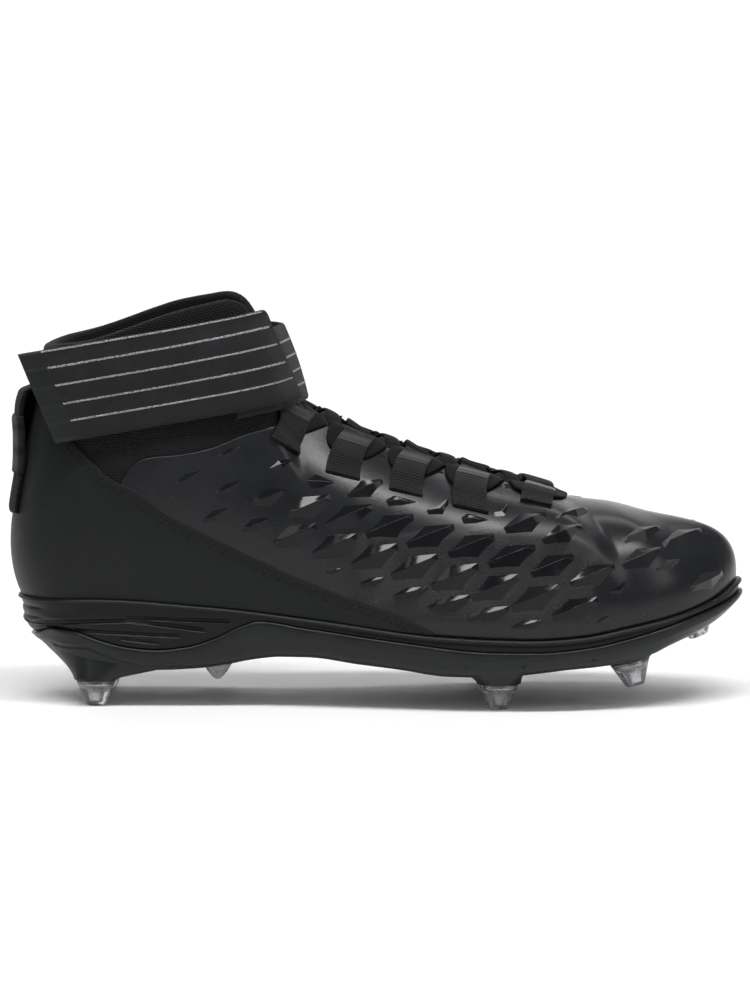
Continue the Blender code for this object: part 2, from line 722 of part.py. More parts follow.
def loft_rings(name, rings, finish, collection):
    """A closed solid from rings of points, listed from top to bottom."""
    columns = len(rings[0])
    faces = []
    for level in range(len(rings) - 1):
        for i in range(columns):
            j = (i + 1) % columns
            a, b = level * columns, (level + 1) * columns
            faces.append((a + i, b + i, b + j, a + j))
    faces += ladder(0, columns, True) + ladder((len(rings) - 1) * columns, columns, False)
    return make_object(name, np.concatenate(rings), faces, finish, collection, merge=1e-7)


def sole_ring(offset, height):
    """The feather line moved outwards by the offset, at the given heights. Both may vary round the ring."""
    plan = PLAN(RING_COLUMNS)
    moved = plan + plan_normal(RING_COLUMNS)[:, :2] * np.broadcast_to(offset, len(plan))[:, None]
    return np.concatenate([moved, np.broadcast_to(height, len(plan))[:, None]], 1)


def heel_back(x):
    """1 at the back of the heel, fading out ahead of it."""
    return 1 - smooth_step(0.01, 0.13, share_at(x))


def make_midsole(finish, collection):
    x = PLAN(RING_COLUMNS)[:, 0]
    top = sole_level(FEATHER_HEIGHT, x)
    bottom = sole_level(PLATE_HEIGHT, x) + GAP / 2
    share = share_at(x)
    undercut = HEEL_UNDERCUT * heel_back(x)
    rings = [sole_ring(SOLE_LIP - 0.0012, top), sole_ring(SOLE_LIP, top - 0.10 * (top - bottom))]
    for level, start, end in MIDSOLE_LEVELS:
        depth = np.zeros_like(x)
        if start is not None:
            fade = 0.02
            depth = smooth_step(start - fade, start, share) * (1 - smooth_step(end, end + fade, share))
        lean = SOLE_LIP - depth * RIB_DEPTH - undercut * smooth_step(0.35, 1.0, level)
        rings.append(sole_ring(lean, top + (bottom - top) * level))
    rings.append(sole_ring(SOLE_LIP - undercut, bottom))
    return loft_rings("midsole", rings, finish, collection)


def make_plate(finish, collection):
    """The outsole plate, with a lug above each stud."""
    x = PLAN(RING_COLUMNS)[:, 0]
    top = sole_level(PLATE_HEIGHT, x) - GAP / 2
    bottom = sole_level(UNDERSIDE_HEIGHT, x)
    undercut = HEEL_UNDERCUT * heel_back(x)
    side = SOLE_LIP - undercut
    rings = [
        sole_ring(side, top),
        sole_ring(side + 0.0004, top - 0.35 * (top - bottom)),
        sole_ring(side - 0.25 * PLATE_INSET, top - 0.75 * (top - bottom)),
        sole_ring(side - PLATE_INSET, bottom),
    ]
    plate = loft_rings("outsole_plate", rings, finish, collection)
    lugs = [make_lug(name, finish, collection) for name in STUDS]
    join_solids(plate, lugs)
    return plate


def stud_frame(name):
    """The matrix of a stud: its origin at the middle of the tip, its Z up to the plate."""
    along, out, tip, tilt, _ = STUDS[name]
    place = Vector((station(along), out * HALF_WIDTH - ORIGIN_SIDE, tip * STACK_HEIGHT))
    return Matrix.Translation(place) @ Matrix.Rotation(math.radians(-tilt), 4, "Y")


def circle(radius, height, count=12):
    angles = np.arange(count) * 2 * math.pi / count
    return [Vector((radius * math.cos(a), radius * math.sin(a), height)) for a in angles]


def make_lug(name, finish, collection):
    """A lug that grows from the plate's side down to a round seat for the stud."""
    frame = stud_frame(name)
    radius = STUD_RADIUS + BOSS_MARGIN
    seat = STUD_HEIGHT * STUDS[name][4] + GAP
    points = [frame @ p for p in circle(radius, seat)]
    kind = name.split("_")[1]
    if kind not in LUG_STRETCH:
        points += [frame @ p for p in circle(radius + 0.001, seat + BOSS_SINK)]
        return hull_object("lug_" + name, points, finish, collection)
    lateral = STUDS[name][1] < 0
    sections = np.linspace(0, HALF_RING, 221)
    r = sections if lateral else RING - sections
    plan = PLAN(r)
    share = share_at(plan[:, 0])
    start, end = LUG_STRETCH[kind]
    picked = np.flatnonzero((share > start) & (share < end))
    picked = picked[np.linspace(0, len(picked) - 1, 7).astype(int)]
    x = plan[picked, 0]
    low, high = sole_level(UNDERSIDE_HEIGHT, x), sole_level(PLATE_HEIGHT, x)
    offset = SOLE_LIP - HEEL_UNDERCUT * heel_back(x) - 0.28 * PLATE_INSET - BOSS_MARGIN / 2
    edge = plan[picked] + plan_normal(r[picked])[:, :2] * offset[:, None]
    points += [(*p, z) for p, z in zip(edge, low + 0.28 * (high - low))]
    middle_y = frame.translation.y * 0.55
    for i in (0, 3, 6):
        points.append((edge[i, 0], (edge[i, 1] + middle_y) / 2 if i != 3 else middle_y, low[i] + BOSS_SINK / 2))
    return hull_object("lug_" + name, points, finish, collection)


def make_stud(name, finish, collection):
    """A turned stud: an upright rim and a waisted cone down to a flat tip."""
    full = STUD_HEIGHT * STUDS[name][4]
    profile = (
        (0.0, full),
        (STUD_RADIUS, full),
        (STUD_RADIUS, full - STUD_RIM),
        (STUD_TIP_RADIUS + 0.30 * (STUD_RADIUS - STUD_TIP_RADIUS), 0.30 * full),
        (STUD_TIP_RADIUS, 0.0006),
        (STUD_TIP_RADIUS - 0.0006, 0.0),
        (0.0, 0.0),
    )
    mesh = bpy.data.meshes.new(name)
    edges = [(i, i + 1) for i in range(len(profile) - 1)]
    mesh.from_pydata([(x, 0, z) for x, z in profile], edges, [])
    mesh.materials.append(finish)
    stud = bpy.data.objects.new(name, mesh)
    collection.objects.link(stud)
    screw = stud.modifiers.new("Turn", "SCREW")
    screw.steps = 12
    screw.render_steps = 12
    screw.use_merge_vertices = True
    screw.merge_threshold = 0.00001
    stud.matrix_world = stud_frame(name)
    return stud


def make_tooth(finish, collection):
    """The small pointed tooth ahead of the heel."""
    along, out = TOOTH
    x, y = station(along), out * HALF_WIDTH - ORIGIN_SIDE
    root = float(sole_level(UNDERSIDE_HEIGHT, x)) - SEAT_GAP
    tip_half = 0.0012
    points = []
    for height, long, wide in ((root, TOOTH_WIDTH / 2, TOOTH_THICKNESS / 2), (root - TOOTH_HEIGHT, tip_half, tip_half)):
        for a, b in ((-1, -1), (1, -1), (1, 1), (-1, 1)):
            points.append((x + a * long, y + b * wide, height))
    slope = (sole_level(UNDERSIDE_HEIGHT, x + 0.006) - sole_level(UNDERSIDE_HEIGHT, x - 0.006)) / 0.012
    points[:4] = [(px, py, pz + float(slope) * (px - x)) for px, py, pz in points[:4]]
    return hull_object("arch_tooth", points, finish, collection)


def make_insole(finish, collection):
    x = PLAN(RING_COLUMNS)[:, 0]
    floor = sole_level(FEATHER_HEIGHT, x) + SEAT_GAP
    rings = [
        sole_ring(-INSOLE_INSET, floor + INSOLE_THICKNESS),
        sole_ring(-INSOLE_INSET, floor),
    ]
    return loft_rings("insole", rings, finish, collection)


class Envelope:
    """The outermost surface of some pieces, felt for with rays."""

    def __init__(self, pieces):
        bpy.context.view_layer.update()
        graph = bpy.context.evaluated_depsgraph_get()
        self.trees = [BVHTree.FromObject(piece, graph) for piece in pieces]

    def hit(self, origin, direction, reach=0.4):
        """The distance to the first surface, or None."""
        found = [tree.ray_cast(Vector(origin), Vector(direction), reach)[3] for tree in self.trees]
        found = [d for d in found if d is not None]
        return min(found) if found else None


def upper_hull(points):
    """The points of a taut line over (x, y) points, from left to right."""
    hull = []
    for p in sorted(points):
        while len(hull) > 1 and cross(hull[-2], hull[-1], p) >= 0:
            hull.pop()
        hull.append(p)
    return hull


def closed_hull(points):
    """The points of a taut loop round (x, y) points, anticlockwise."""
    top = upper_hull(points)
    bottom = upper_hull([(-x, -y) for x, y in points])
    return [(-x, -y) for x, y in bottom[:-1]] + top[:0:-1]


def cross(a, b, c):
    return (b[0] - a[0]) * (c[1] - a[1]) - (b[1] - a[1]) * (c[0] - a[0])


# The strap seen from the side: the foot of its front edge, along and as a share of the stack and collar
# together, and how it climbs to the toe
STRAP_FOOT = (0.389, 0.754)
STRAP_CLIMB = 0.140  # rise per length, towards the toe
STRAP_SHEAR = 0.40  # how far its ends lean back, per height
ANKLE_MIDDLE = 0.22  # along
STRAP_REST = 0.0014  # from what the strap passes to its inside


def strap_height(x, level):
    """The height of the strap's line at a share of its width, 0 at its lower edge."""
    foot = (STACK_HEIGHT + COLLAR_RISE) * STRAP_FOOT[1]
    return foot + STRAP_CLIMB * (x - station(STRAP_FOOT[0])) + level * STRAP_WIDTH * 1.02


def taut_line(envelope, level, angles):
    """Points of a taut line round the ankle at the strap's level, one to each angle, and their normals. It
    clears what lies a little above and below it as well."""
    middle = station(ANKLE_MIDDLE)
    felt = []
    for near in (level - 0.17, level, level + 0.17):
        base = np.array([middle, 0, strap_height(middle, near)])
        for a in np.radians(np.arange(-180, 180, 3)):
            way = np.array([math.cos(a), math.sin(a), STRAP_CLIMB * math.cos(a)])
            distance = envelope.hit(base + way * 0.2, -unit(way))
            if distance is not None:
                spot = base + way * 0.2 - unit(way) * distance
                felt.append((spot[0], spot[1]))
    loop = np.array(closed_hull(felt))
    step = math.radians(2)
    spots = np.array([loop_point(loop, middle, a) for a in angles])
    tangent = np.array([loop_point(loop, middle, a + step) - loop_point(loop, middle, a - step) for a in angles])
    tangent = unit(tangent)
    return spots, np.stack([tangent[:, 1], -tangent[:, 0]], 1)


def make_strap(envelope, finish, collection):
    """The elastic panel: from the ankle's front corner along the lateral side to its free end, taut over
    what it passes and straight past the ankle's widest place."""
    levels = np.linspace(0, 1, 4)
    shares = np.linspace(0, 1, 21)
    grid = np.zeros((len(shares), len(levels), 3))
    angles = np.radians(np.arange(0, -100, -1.5))
    for k, level in enumerate(levels):
        front = station(STRAP_FOOT[0]) - STRAP_SHEAR * level * STRAP_WIDTH
        spots, normals = taut_line(envelope, level, angles)
        line = spots + normals * STRAP_REST
        widest = line[:, 1].argmin()
        line = np.concatenate([line[: widest + 1], [(front - STRAP_REACH - 0.01, line[widest, 1])]])
        arc = np.concatenate([[0], np.cumsum(np.linalg.norm(np.diff(line, axis=0), axis=1))])
        first = np.interp(-front, -line[:, 0], arc)
        last = np.interp(-(front - STRAP_REACH), -line[:, 0], arc)
        for i, share in enumerate(shares):
            place = last + (first - last) * share
            x, y = np.interp(place, arc, line[:, 0]), np.interp(place, arc, line[:, 1])
            grid[i, k] = (x, y, strap_height(x, level))
    return make_sheet("strap_panel", grid, STRAP_THICKNESS, finish, collection)


def make_front_strap(envelope, finish, collection):
    """The front of the strap: from under the panel, round the ankle's front, to its seam on the medial
    side of the heel."""
    levels = np.linspace(0.10, 0.10 + FRONT_STRAP_WIDTH / STRAP_WIDTH, 4)
    angles = np.radians(np.linspace(-50, 150, 31))
    grid = np.zeros((len(angles), len(levels), 3))
    for k, level in enumerate(levels):
        spots, normals = taut_line(envelope, level, angles)
        line = spots + normals * STRAP_REST
        grid[:, k] = np.stack([line[:, 0], line[:, 1], strap_height(line[:, 0], level)], 1)
    return make_sheet("strap_front", grid, STRAP_THICKNESS, finish, collection)


def loop_point(loop, middle, angle):
    """Where a ray from the ankle's middle leaves a taut loop."""
    way = np.array([math.cos(angle), math.sin(angle)])
    best = 0.0
    for a, b in zip(loop, np.roll(loop, -1, 0)):
        edge = b - a
        start = a - np.array([middle, 0])
        det = way[0] * -edge[1] + way[1] * edge[0]
        if abs(det) < 1e-12:
            continue
        t = (start[0] * -edge[1] + start[1] * edge[0]) / det
        s = (way[0] * start[1] - way[1] * start[0]) / det
        if -1e-6 <= s <= 1 + 1e-6 and t > best:
            best = t
    return np.array([middle, 0]) + way * best


def throat_spot(section, side, down, lift):
    """A point near the throat's edge: so far straight down the wall from it, and so far off the wall."""
    edge = top_point(np.array([section]), float(side))[0]
    target = edge[0] - LOOP_LEAN * down
    span_r, span_v = 1.3, 0.55
    r, v = section, 1.0
    for _ in range(4):
        try_r = np.clip(np.linspace(r - span_r, r + span_r, 25), 4.2, THROAT_END)
        try_v = np.clip(np.linspace(v - span_v, v + span_v, 25), 0, 1)
        points = wall_surface(try_r if side < 0 else RING - try_r, try_v)
        reach = np.linalg.norm(points - edge, axis=2)
        miss = (points[..., 0] - target) ** 2 + (reach - down) ** 2
        i, k = np.unravel_index(np.argmin(miss), miss.shape)
        r, v = try_r[i], try_v[k]
        span_r, span_v = span_r / 8, span_v / 8
    ring = np.array([r if side < 0 else RING - r])
    point = wall_surface(ring, [v])[0, 0]
    normal = wall_normals(ring, [v])[0, 0]
    return point + normal * lift, normal


def make_loop(section, number, side, envelope, finish, collection):
    """A webbing loop: sewn down on the skin, up over the lace and back down at the throat's edge."""
    flat = GAP / 2 + LOOP_THICKNESS / 2
    tunnel = LACE_REST + LACE_THICKNESS + SEAT_GAP * 3 + LOOP_THICKNESS / 2
    stops = ((1.0, flat), (0.84, flat), (0.74, tunnel), (0.08, tunnel), (0.0, flat + GAP))
    edge = top_point(np.array([section - 0.1, section + 0.1]), float(side))
    weft = unit(edge[1] - edge[0])
    path, normals = [], []
    for share, lift in stops:
        point, normal = throat_spot(section, side, share * LOOP_LENGTH, 0.0)
        path.append(rest_on(envelope, point, normal, weft * LOOP_WIDTH, lift))
        normals.append(normal)
    name = f"loop_{'lateral' if side < 0 else 'medial'}_{number}"
    return make_ribbon(name, path, normals, LOOP_WIDTH, LOOP_THICKNESS, finish, collection, weft)


def rest_on(envelope, spot, lift, side, clear):
    """The spot moved along the lift until a band as wide as the side vector clears the envelope."""
    highest = -0.02
    for share in (-0.55, -0.25, 0, 0.25, 0.55):
        start = spot + side * share + lift * 0.05
        distance = envelope.hit(start, -lift, 0.07)
        if distance is not None:
            highest = max(highest, 0.05 - distance)
    return spot + lift * (highest + clear)


def lace_bridge(envelope, start, end, shares, extra=0.0):
    """Points between two places of the lace, each resting clear of the tongue and the throat's edges."""
    along = unit(end[0] - start[0])
    path, normals = [], []
    for share in shares:
        spot = start[0] + (end[0] - start[0]) * share
        lift = start[1] * (1 - share) + end[1] * share
        lift = unit(lift - along * (lift @ along))
        side = np.cross(along, lift)
        path.append(rest_on(envelope, spot, lift, side * LACE_WIDTH, LACE_REST + LACE_THICKNESS / 2 + extra))
        normals.append(lift)
    return path, normals


def lace_strand(side, envelope):
    """The path of one lace end, from the lowest loop up to the highest, crossing at each step."""
    path, normals = [], []
    ride = LACE_REST + LACE_THICKNESS / 2
    extra = LACE_THICKNESS / 3 if side > 0 else 0.0
    loops = LOOP_SECTIONS[::-1]
    for number, section in enumerate(loops):
        entry = LOOP_HALF_STEP + (LACE_BAR_STEP if number == 0 else 0)
        for step in (entry, 0, LOOP_SHIFT - LOOP_HALF_STEP):
            point, normal = throat_spot(section + step, side, LACE_DOWN * LOOP_LENGTH, ride)
            path.append(point)
            normals.append(normal)
        if number < len(loops) - 1:
            start = path[-1], normals[-1]
            side = -side
            end = throat_spot(loops[number + 1] + LOOP_HALF_STEP, side, LACE_DOWN * LOOP_LENGTH, ride)
            spots, lifts = lace_bridge(envelope, start, end, (0.16, 0.33, 0.5, 0.67, 0.84), extra)
            path += spots
            normals += lifts
    return path, normals


def make_lace(envelope, finish, collection):
    """Both ends of the lace and the bar that joins them at the toe, as one solid."""
    strands = []
    for side in (-1, 1):
        path, normals = lace_strand(side, envelope)
        strands.append(make_ribbon(f"lace_{side}", path, normals, LACE_WIDTH, LACE_THICKNESS, finish, collection))
    ride = LACE_REST + LACE_THICKNESS / 2
    front = LOOP_SECTIONS[-1] + LOOP_HALF_STEP + LACE_BAR_STEP - 0.01
    ends = [throat_spot(front, side, LACE_DOWN * LOOP_LENGTH, ride) for side in (-1, 1)]
    spots, lifts = lace_bridge(envelope, ends[0], ends[1], (0.15, 0.3, 0.5, 0.7, 0.85))
    path = [ends[0][0]] + spots + [ends[1][0]]
    normals = [ends[0][1]] + lifts + [ends[1][1]]
    bar = make_ribbon("lace_bar", path, normals, LACE_WIDTH * 0.96, LACE_THICKNESS * 1.05, finish, collection)
    lace = strands[0]
    lace.name = "lace"
    join_solids(lace, [strands[1], bar])
    return lace


def make_pull_loop(finish, collection):
    """The heel's pull loop: a padded webbing that stands a little off the heel between its two seams."""
    v_top = float(seam_rows(np.array([0.0]))[0])
    v = np.linspace(0, v_top, 80)
    spine = wall_surface([0.0], v)[0]
    rise = np.concatenate([[0], np.cumsum(np.linalg.norm(np.diff(spine, axis=0), axis=1))])
    top_length = rise[-1] - 0.002
    shares = np.linspace(0, 1, 9)
    across = np.linspace(-1, 1, 5)
    grid = np.zeros((len(shares), len(across), 3))
    seat = SEAT_GAP * 2 + QUARTER_THICKNESS
    half_turn = 0.42
    for i, share in enumerate(shares):
        place = np.interp(top_length - PULL_LENGTH * (1 - share), rise, v)
        stand = seat + PULL_STANDOFF * math.sin(math.pi * share) ** 0.6
        for k, side in enumerate(across):
            r = np.array([side * -half_turn * PULL_WIDTH / 0.0200])
            point = wall_surface(r, [place])[0, 0]
            normal = wall_normals(r, [place])[0, 0]
            grid[i, k] = point + normal * stand
    grid = grid.transpose(1, 0, 2)[::-1]
    return make_sheet("heel_pull_loop", grid, PULL_THICKNESS, finish, collection)


def build():
    for old in list(bpy.data.objects):
        bpy.data.objects.remove(old)
    shoe = bpy.data.collections.new("football_cleat")
    bpy.context.scene.collection.children.link(shoe)
    finishes = {
        "knit": material("knit", COLORS["knit"], 0.85),
        "skin": material("moulded_skin", COLORS["skin"], 0.30),
        "quarter": material("smooth_synthetic", COLORS["quarter"], 0.55),
        "foam": material("midsole_foam", COLORS["foam"], 0.60),
        "plate": material("plate_polymer", COLORS["plate"], 0.45),
        "stud": material("clear_stud", COLORS["stud"], 0.12, transmission=0.8),
        "webbing": material("webbing", COLORS["webbing"], 0.75),
        "elastic": material("strap_elastic", COLORS["elastic"], 0.75),
    }
    upper = make_upper(finishes["skin"], shoe)
    quarter = make_quarter(finishes["quarter"], shoe)
    tongue = make_tongue(finishes["knit"], shoe)
    make_insole(finishes["knit"], shoe)
    make_midsole(finishes["foam"], shoe)
    make_plate(finishes["plate"], shoe)
    for name in STUDS:
        make_stud(name, finishes["stud"], shoe)
    make_tooth(finishes["stud"], shoe)
    instep = Envelope([upper, tongue])
    for side in (-1, 1):
        for number, section in enumerate(LOOP_SECTIONS):
            make_loop(section, number + 1, side, instep, finishes["webbing"], shoe)
    make_lace(instep, finishes["webbing"], shoe)
    make_pull_loop(finishes["webbing"], shoe)
    front_strap = make_front_strap(Envelope([upper, tongue, quarter]), finishes["elastic"], shoe)
    make_strap(Envelope([upper, tongue, quarter, front_strap]), finishes["elastic"], shoe)
    for made in shoe.objects:
        made.data.shade_smooth()
        made.data.set_sharp_from_angle(angle=math.radians(24))


build()
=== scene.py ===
import math

import bmesh
import bpy
import numpy as np
from mathutils import Matrix, Vector
from mathutils.bvhtree import BVHTree


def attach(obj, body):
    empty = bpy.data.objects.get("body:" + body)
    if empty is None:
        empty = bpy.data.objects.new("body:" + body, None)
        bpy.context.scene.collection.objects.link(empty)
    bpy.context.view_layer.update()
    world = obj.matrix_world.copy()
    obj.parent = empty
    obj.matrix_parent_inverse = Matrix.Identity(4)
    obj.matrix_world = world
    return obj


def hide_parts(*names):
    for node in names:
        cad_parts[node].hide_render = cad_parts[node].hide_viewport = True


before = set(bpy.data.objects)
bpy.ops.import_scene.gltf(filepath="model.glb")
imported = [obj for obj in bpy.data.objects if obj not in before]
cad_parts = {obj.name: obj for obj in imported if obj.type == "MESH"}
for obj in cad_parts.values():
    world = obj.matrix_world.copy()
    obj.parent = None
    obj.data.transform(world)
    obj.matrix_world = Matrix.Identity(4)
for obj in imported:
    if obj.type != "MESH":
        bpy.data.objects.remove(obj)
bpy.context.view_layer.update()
print("frame loaded")

# High-top football cleat with an ankle strap: the right shoe, toe to +X, medial side to +Y.
# The lines below are those of the solids: the feather line, where upper and sole meet, and the
# topline, which runs round the collar and down both edges of the throat.

last = {
    "soleLength": 0.306,
    "halfWidth": 0.0485,
    "stackHeight": 0.0442,  # floor to the feather line at the heel
    "collarRise": 0.1255,  # from there to the collar's highest point
    "originBack": 0.14965,
    "originSide": -0.00095,
    "sideSections": 11,
    "throatEnd": 8.8,
    "wall": 0.0024,
    "collarWall": 0.0046,
    "gap": 0.0003,
    "soleLip": 0.0030,
    "heelUndercut": 0.0085,
}
ringCount = 2 * last["sideSections"]

# lateral along, lateral out, medial along, medial out, low lean, low reach, top lean, top reach
sections = (
    (0.006, 0.000, 0.006, 0.000, 25, 0.30, 3, 0.42),
    (0.045, 0.505, 0.045, 0.495, 20, 0.30, 3, 0.38),
    (0.120, 0.640, 0.120, 0.620, 13, 0.30, 3, 0.34),
    (0.220, 0.670, 0.220, 0.640, 11, 0.30, 4, 0.33),
    (0.340, 0.700, 0.340, 0.620, 10, 0.32, 10, 0.33),
    (0.460, 0.805, 0.460, 0.660, 9, 0.34, 30, 0.34),
    (0.580, 0.938, 0.580, 0.800, 8, 0.35, 46, 0.36),
    (0.680, 1.000, 0.680, 0.930, 8, 0.36, 60, 0.36),
    (0.780, 0.950, 0.770, 0.960, 8, 0.38, 74, 0.38),
    (0.870, 0.753, 0.865, 0.900, 8, 0.42, 90, 0.42),
    (0.940, 0.433, 0.940, 0.700, 7, 0.44, 90, 0.42),
    (0.9965, -0.190, 0.9965, 0.190, 5, 0.42, 90, 0.42),
)
# section, along, out, rise as a share of the collar's rise
topline = (
    (0.0, 0.035, 0.000, 0.841), (1.0, 0.064, 0.464, 0.857), (2.0, 0.118, 0.640, 0.885),
    (3.0, 0.195, 0.660, 0.952), (4.0, 0.273, 0.520, 1.000), (4.4, 0.314, 0.385, 0.988),
    (4.7, 0.339, 0.335, 0.885), (5.0, 0.359, 0.310, 0.761), (5.5, 0.385, 0.300, 0.645),
    (6.0, 0.442, 0.290, 0.570), (7.0, 0.555, 0.270, 0.470), (8.0, 0.672, 0.240, 0.390),
    (8.5, 0.727, 0.165, 0.352), (8.8, 0.756, 0.000, 0.329), (9.4, 0.812, 0.000, 0.310),
    (10.0, 0.864, 0.000, 0.280), (10.6, 0.914, 0.000, 0.256), (11.0, 0.934, 0.000, 0.245),
)
# along, height as a share of the stack height
featherRows = (
    (0.000, 1.000), (0.111, 1.030), (0.260, 0.964), (0.416, 0.845), (0.590, 0.711), (0.715, 0.686),
    (0.776, 0.709), (0.839, 0.780), (0.901, 0.859), (0.963, 0.984), (1.000, 1.136),
)
plateRows = (
    (0.000, 0.610), (0.018, 0.660), (0.043, 0.735), (0.079, 0.720), (0.114, 0.645), (0.150, 0.584),
    (0.192, 0.557), (0.235, 0.589), (0.274, 0.675), (0.309, 0.790), (0.335, 0.840), (0.398, 0.780),
    (0.528, 0.666), (0.652, 0.585), (0.715, 0.581), (0.777, 0.612), (0.839, 0.690), (0.932, 0.862),
    (0.988, 0.985), (1.000, 1.040),
)
undersideRows = (
    (0.000, 0.570), (0.036, 0.480), (0.070, 0.398), (0.110, 0.352), (0.192, 0.345), (0.249, 0.364),
    (0.292, 0.405), (0.327, 0.455), (0.362, 0.480), (0.398, 0.480), (0.469, 0.423), (0.528, 0.380),
    (0.590, 0.327), (0.650, 0.323), (0.715, 0.361), (0.761, 0.395), (0.808, 0.418), (0.876, 0.500),
    (0.901, 0.570), (0.938, 0.660), (0.963, 0.735), (0.988, 0.860), (1.000, 0.960),
)
# along, height as a share of stack and collar together
seamRows = (
    (0.000, 0.784), (0.035, 0.754), (0.058, 0.700), (0.076, 0.665), (0.107, 0.609), (0.130, 0.571),
    (0.161, 0.544), (0.205, 0.487), (0.260, 0.436), (0.320, 0.383), (0.431, 0.297), (0.528, 0.238),
    (0.575, 0.195), (0.620, 0.120),
)
viewTilt = math.radians(7)  # the photograph looks down on the shoe by this much


def ringSpline(values):
    # smooth closed curve, one row to each whole number
    values = np.asarray(values, float)
    count = len(values)
    matrix = np.zeros((count, count))
    for i in range(count):
        matrix[i, i] = 4
        matrix[i, i - 1] += 1
        matrix[i, (i + 1) % count] += 1
    moments = np.linalg.solve(matrix, 6 * (np.roll(values, -1, 0) - 2 * values + np.roll(values, 1, 0)))

    def at(r):
        r = np.mod(np.asarray(r, float), count)
        i = np.minimum(r.astype(int), count - 1)
        j = (i + 1) % count
        t = (r - i)[..., None]
        s = 1 - t
        return s * values[i] + t * values[j] + ((s**3 - s) * moments[i] + (t**3 - t) * moments[j]) / 6

    return at


def evenSpline(stations, values):
    # smooth curve that is level at both ends
    x = np.asarray(stations, float)
    y = np.asarray(values, float).reshape(len(x), -1)
    count = len(x)
    matrix = np.zeros((count, count))
    bend = np.zeros_like(y)
    step = np.diff(x)
    rate = np.diff(y, axis=0) / step[:, None]
    for i in range(1, count - 1):
        matrix[i, i - 1 : i + 2] = step[i - 1], 2 * (step[i - 1] + step[i]), step[i]
        bend[i] = 6 * (rate[i] - rate[i - 1])
    matrix[0, :2] = 2 * step[0], step[0]
    bend[0] = 6 * rate[0]
    matrix[-1, -2:] = step[-1], 2 * step[-1]
    bend[-1] = -6 * rate[-1]
    moments = np.linalg.solve(matrix, bend)

    def at(s):
        s = np.asarray(s, float)
        i = np.clip(np.searchsorted(x, s, "right") - 1, 0, count - 2)
        h = step[i][..., None]
        t = ((s - x[i]) / step[i])[..., None]
        u = 1 - t
        return u * y[i] + t * y[i + 1] + ((u**3 - u) * moments[i] + (t**3 - t) * moments[i + 1]) * h * h / 6

    return at


def steadyCurve(rows):
    # curve through (x, y) rows that never swings past them
    x, y = np.asarray(rows, float).T
    step = np.diff(x)
    rate = np.diff(y) / step
    slope = np.zeros(len(x))
    for i in range(1, len(x) - 1):
        if rate[i - 1] * rate[i] > 0:
            a, b = 2 * step[i] + step[i - 1], step[i] + 2 * step[i - 1]
            slope[i] = (a + b) / (a / rate[i - 1] + b / rate[i])
    slope[0], slope[-1] = rate[0], rate[-1]

    def at(s):
        s = np.clip(np.asarray(s, float), x[0], x[-1])
        i = np.clip(np.searchsorted(x, s, "right") - 1, 0, len(x) - 2)
        t = (s - x[i]) / step[i]
        rise = (2 * t**3 - 3 * t**2 + 1) * y[i] + (3 * t**2 - 2 * t**3) * y[i + 1]
        return rise + step[i] * ((t**3 - 2 * t**2 + t) * slope[i] + (t**3 - t**2) * slope[i + 1])

    return at


def smoothStep(low, high, value):
    t = np.clip((np.asarray(value, float) - low) / (high - low), 0, 1)
    return t * t * (3 - 2 * t)


def unit(vectors):
    return vectors / np.maximum(np.linalg.norm(vectors, axis=-1, keepdims=True), 1e-12)


def arcOf(path):
    # how far along a path each of its points lies
    return np.concatenate([[0], np.cumsum(np.linalg.norm(np.diff(path, axis=0), axis=1))])


def station(along):
    return along * last["soleLength"] - last["originBack"]


def shareAt(x):
    return (x + last["originBack"]) / last["soleLength"]


def planRows():
    lateral = [(station(s[0]), -s[1] * last["halfWidth"] - last["originSide"]) for s in sections]
    medial = [(station(s[2]), s[3] * last["halfWidth"] - last["originSide"]) for s in sections[1:-1]]
    return lateral + medial[::-1]


planLine = ringSpline(planRows())
featherHeight = steadyCurve(featherRows)
plateHeight = steadyCurve(plateRows)
undersideHeight = steadyCurve(undersideRows)
seamHeight = steadyCurve(seamRows)
topOut = steadyCurve([(row[0], row[2]) for row in topline])
topCurve = evenSpline([row[0] for row in topline], [(row[1], row[3]) for row in topline])
handleCurve = evenSpline(range(len(sections)), [(s[4], s[5], s[7]) for s in sections])
topLean = steadyCurve([(i, s[6]) for i, s in enumerate(sections[:9])] + [(last["throatEnd"], 90), (11, 90)])


def sectionOf(r):
    r = np.mod(np.asarray(r, float), ringCount)
    return np.minimum(r, ringCount - r), np.where(r > last["sideSections"], 1.0, -1.0)


def ringPlace(section, side):
    return section if side < 0 else ringCount - section


def planNormal(r):
    step = 0.01
    along = unit(planLine(r + step) - planLine(r - step))
    return np.stack([along[..., 1], -along[..., 0], np.zeros_like(along[..., 0])], -1)


def soleLevel(curve, x):
    return last["stackHeight"] * curve(shareAt(x))


def topPoint(section, side):
    line = topCurve(section)
    out = topOut(section) * last["halfWidth"]
    height = last["stackHeight"] + line[..., 1] * last["collarRise"]
    return np.stack([station(line[..., 0]), side * out - last["originSide"], height], -1)


def topSlope(section):
    step = 0.02
    low = topPoint(np.clip(section - step, 0, last["sideSections"]), 1.0)
    high = topPoint(np.clip(section + step, 0, last["sideSections"]), 1.0)
    return (high[..., 2] - low[..., 2]) / (high[..., 0] - low[..., 0])


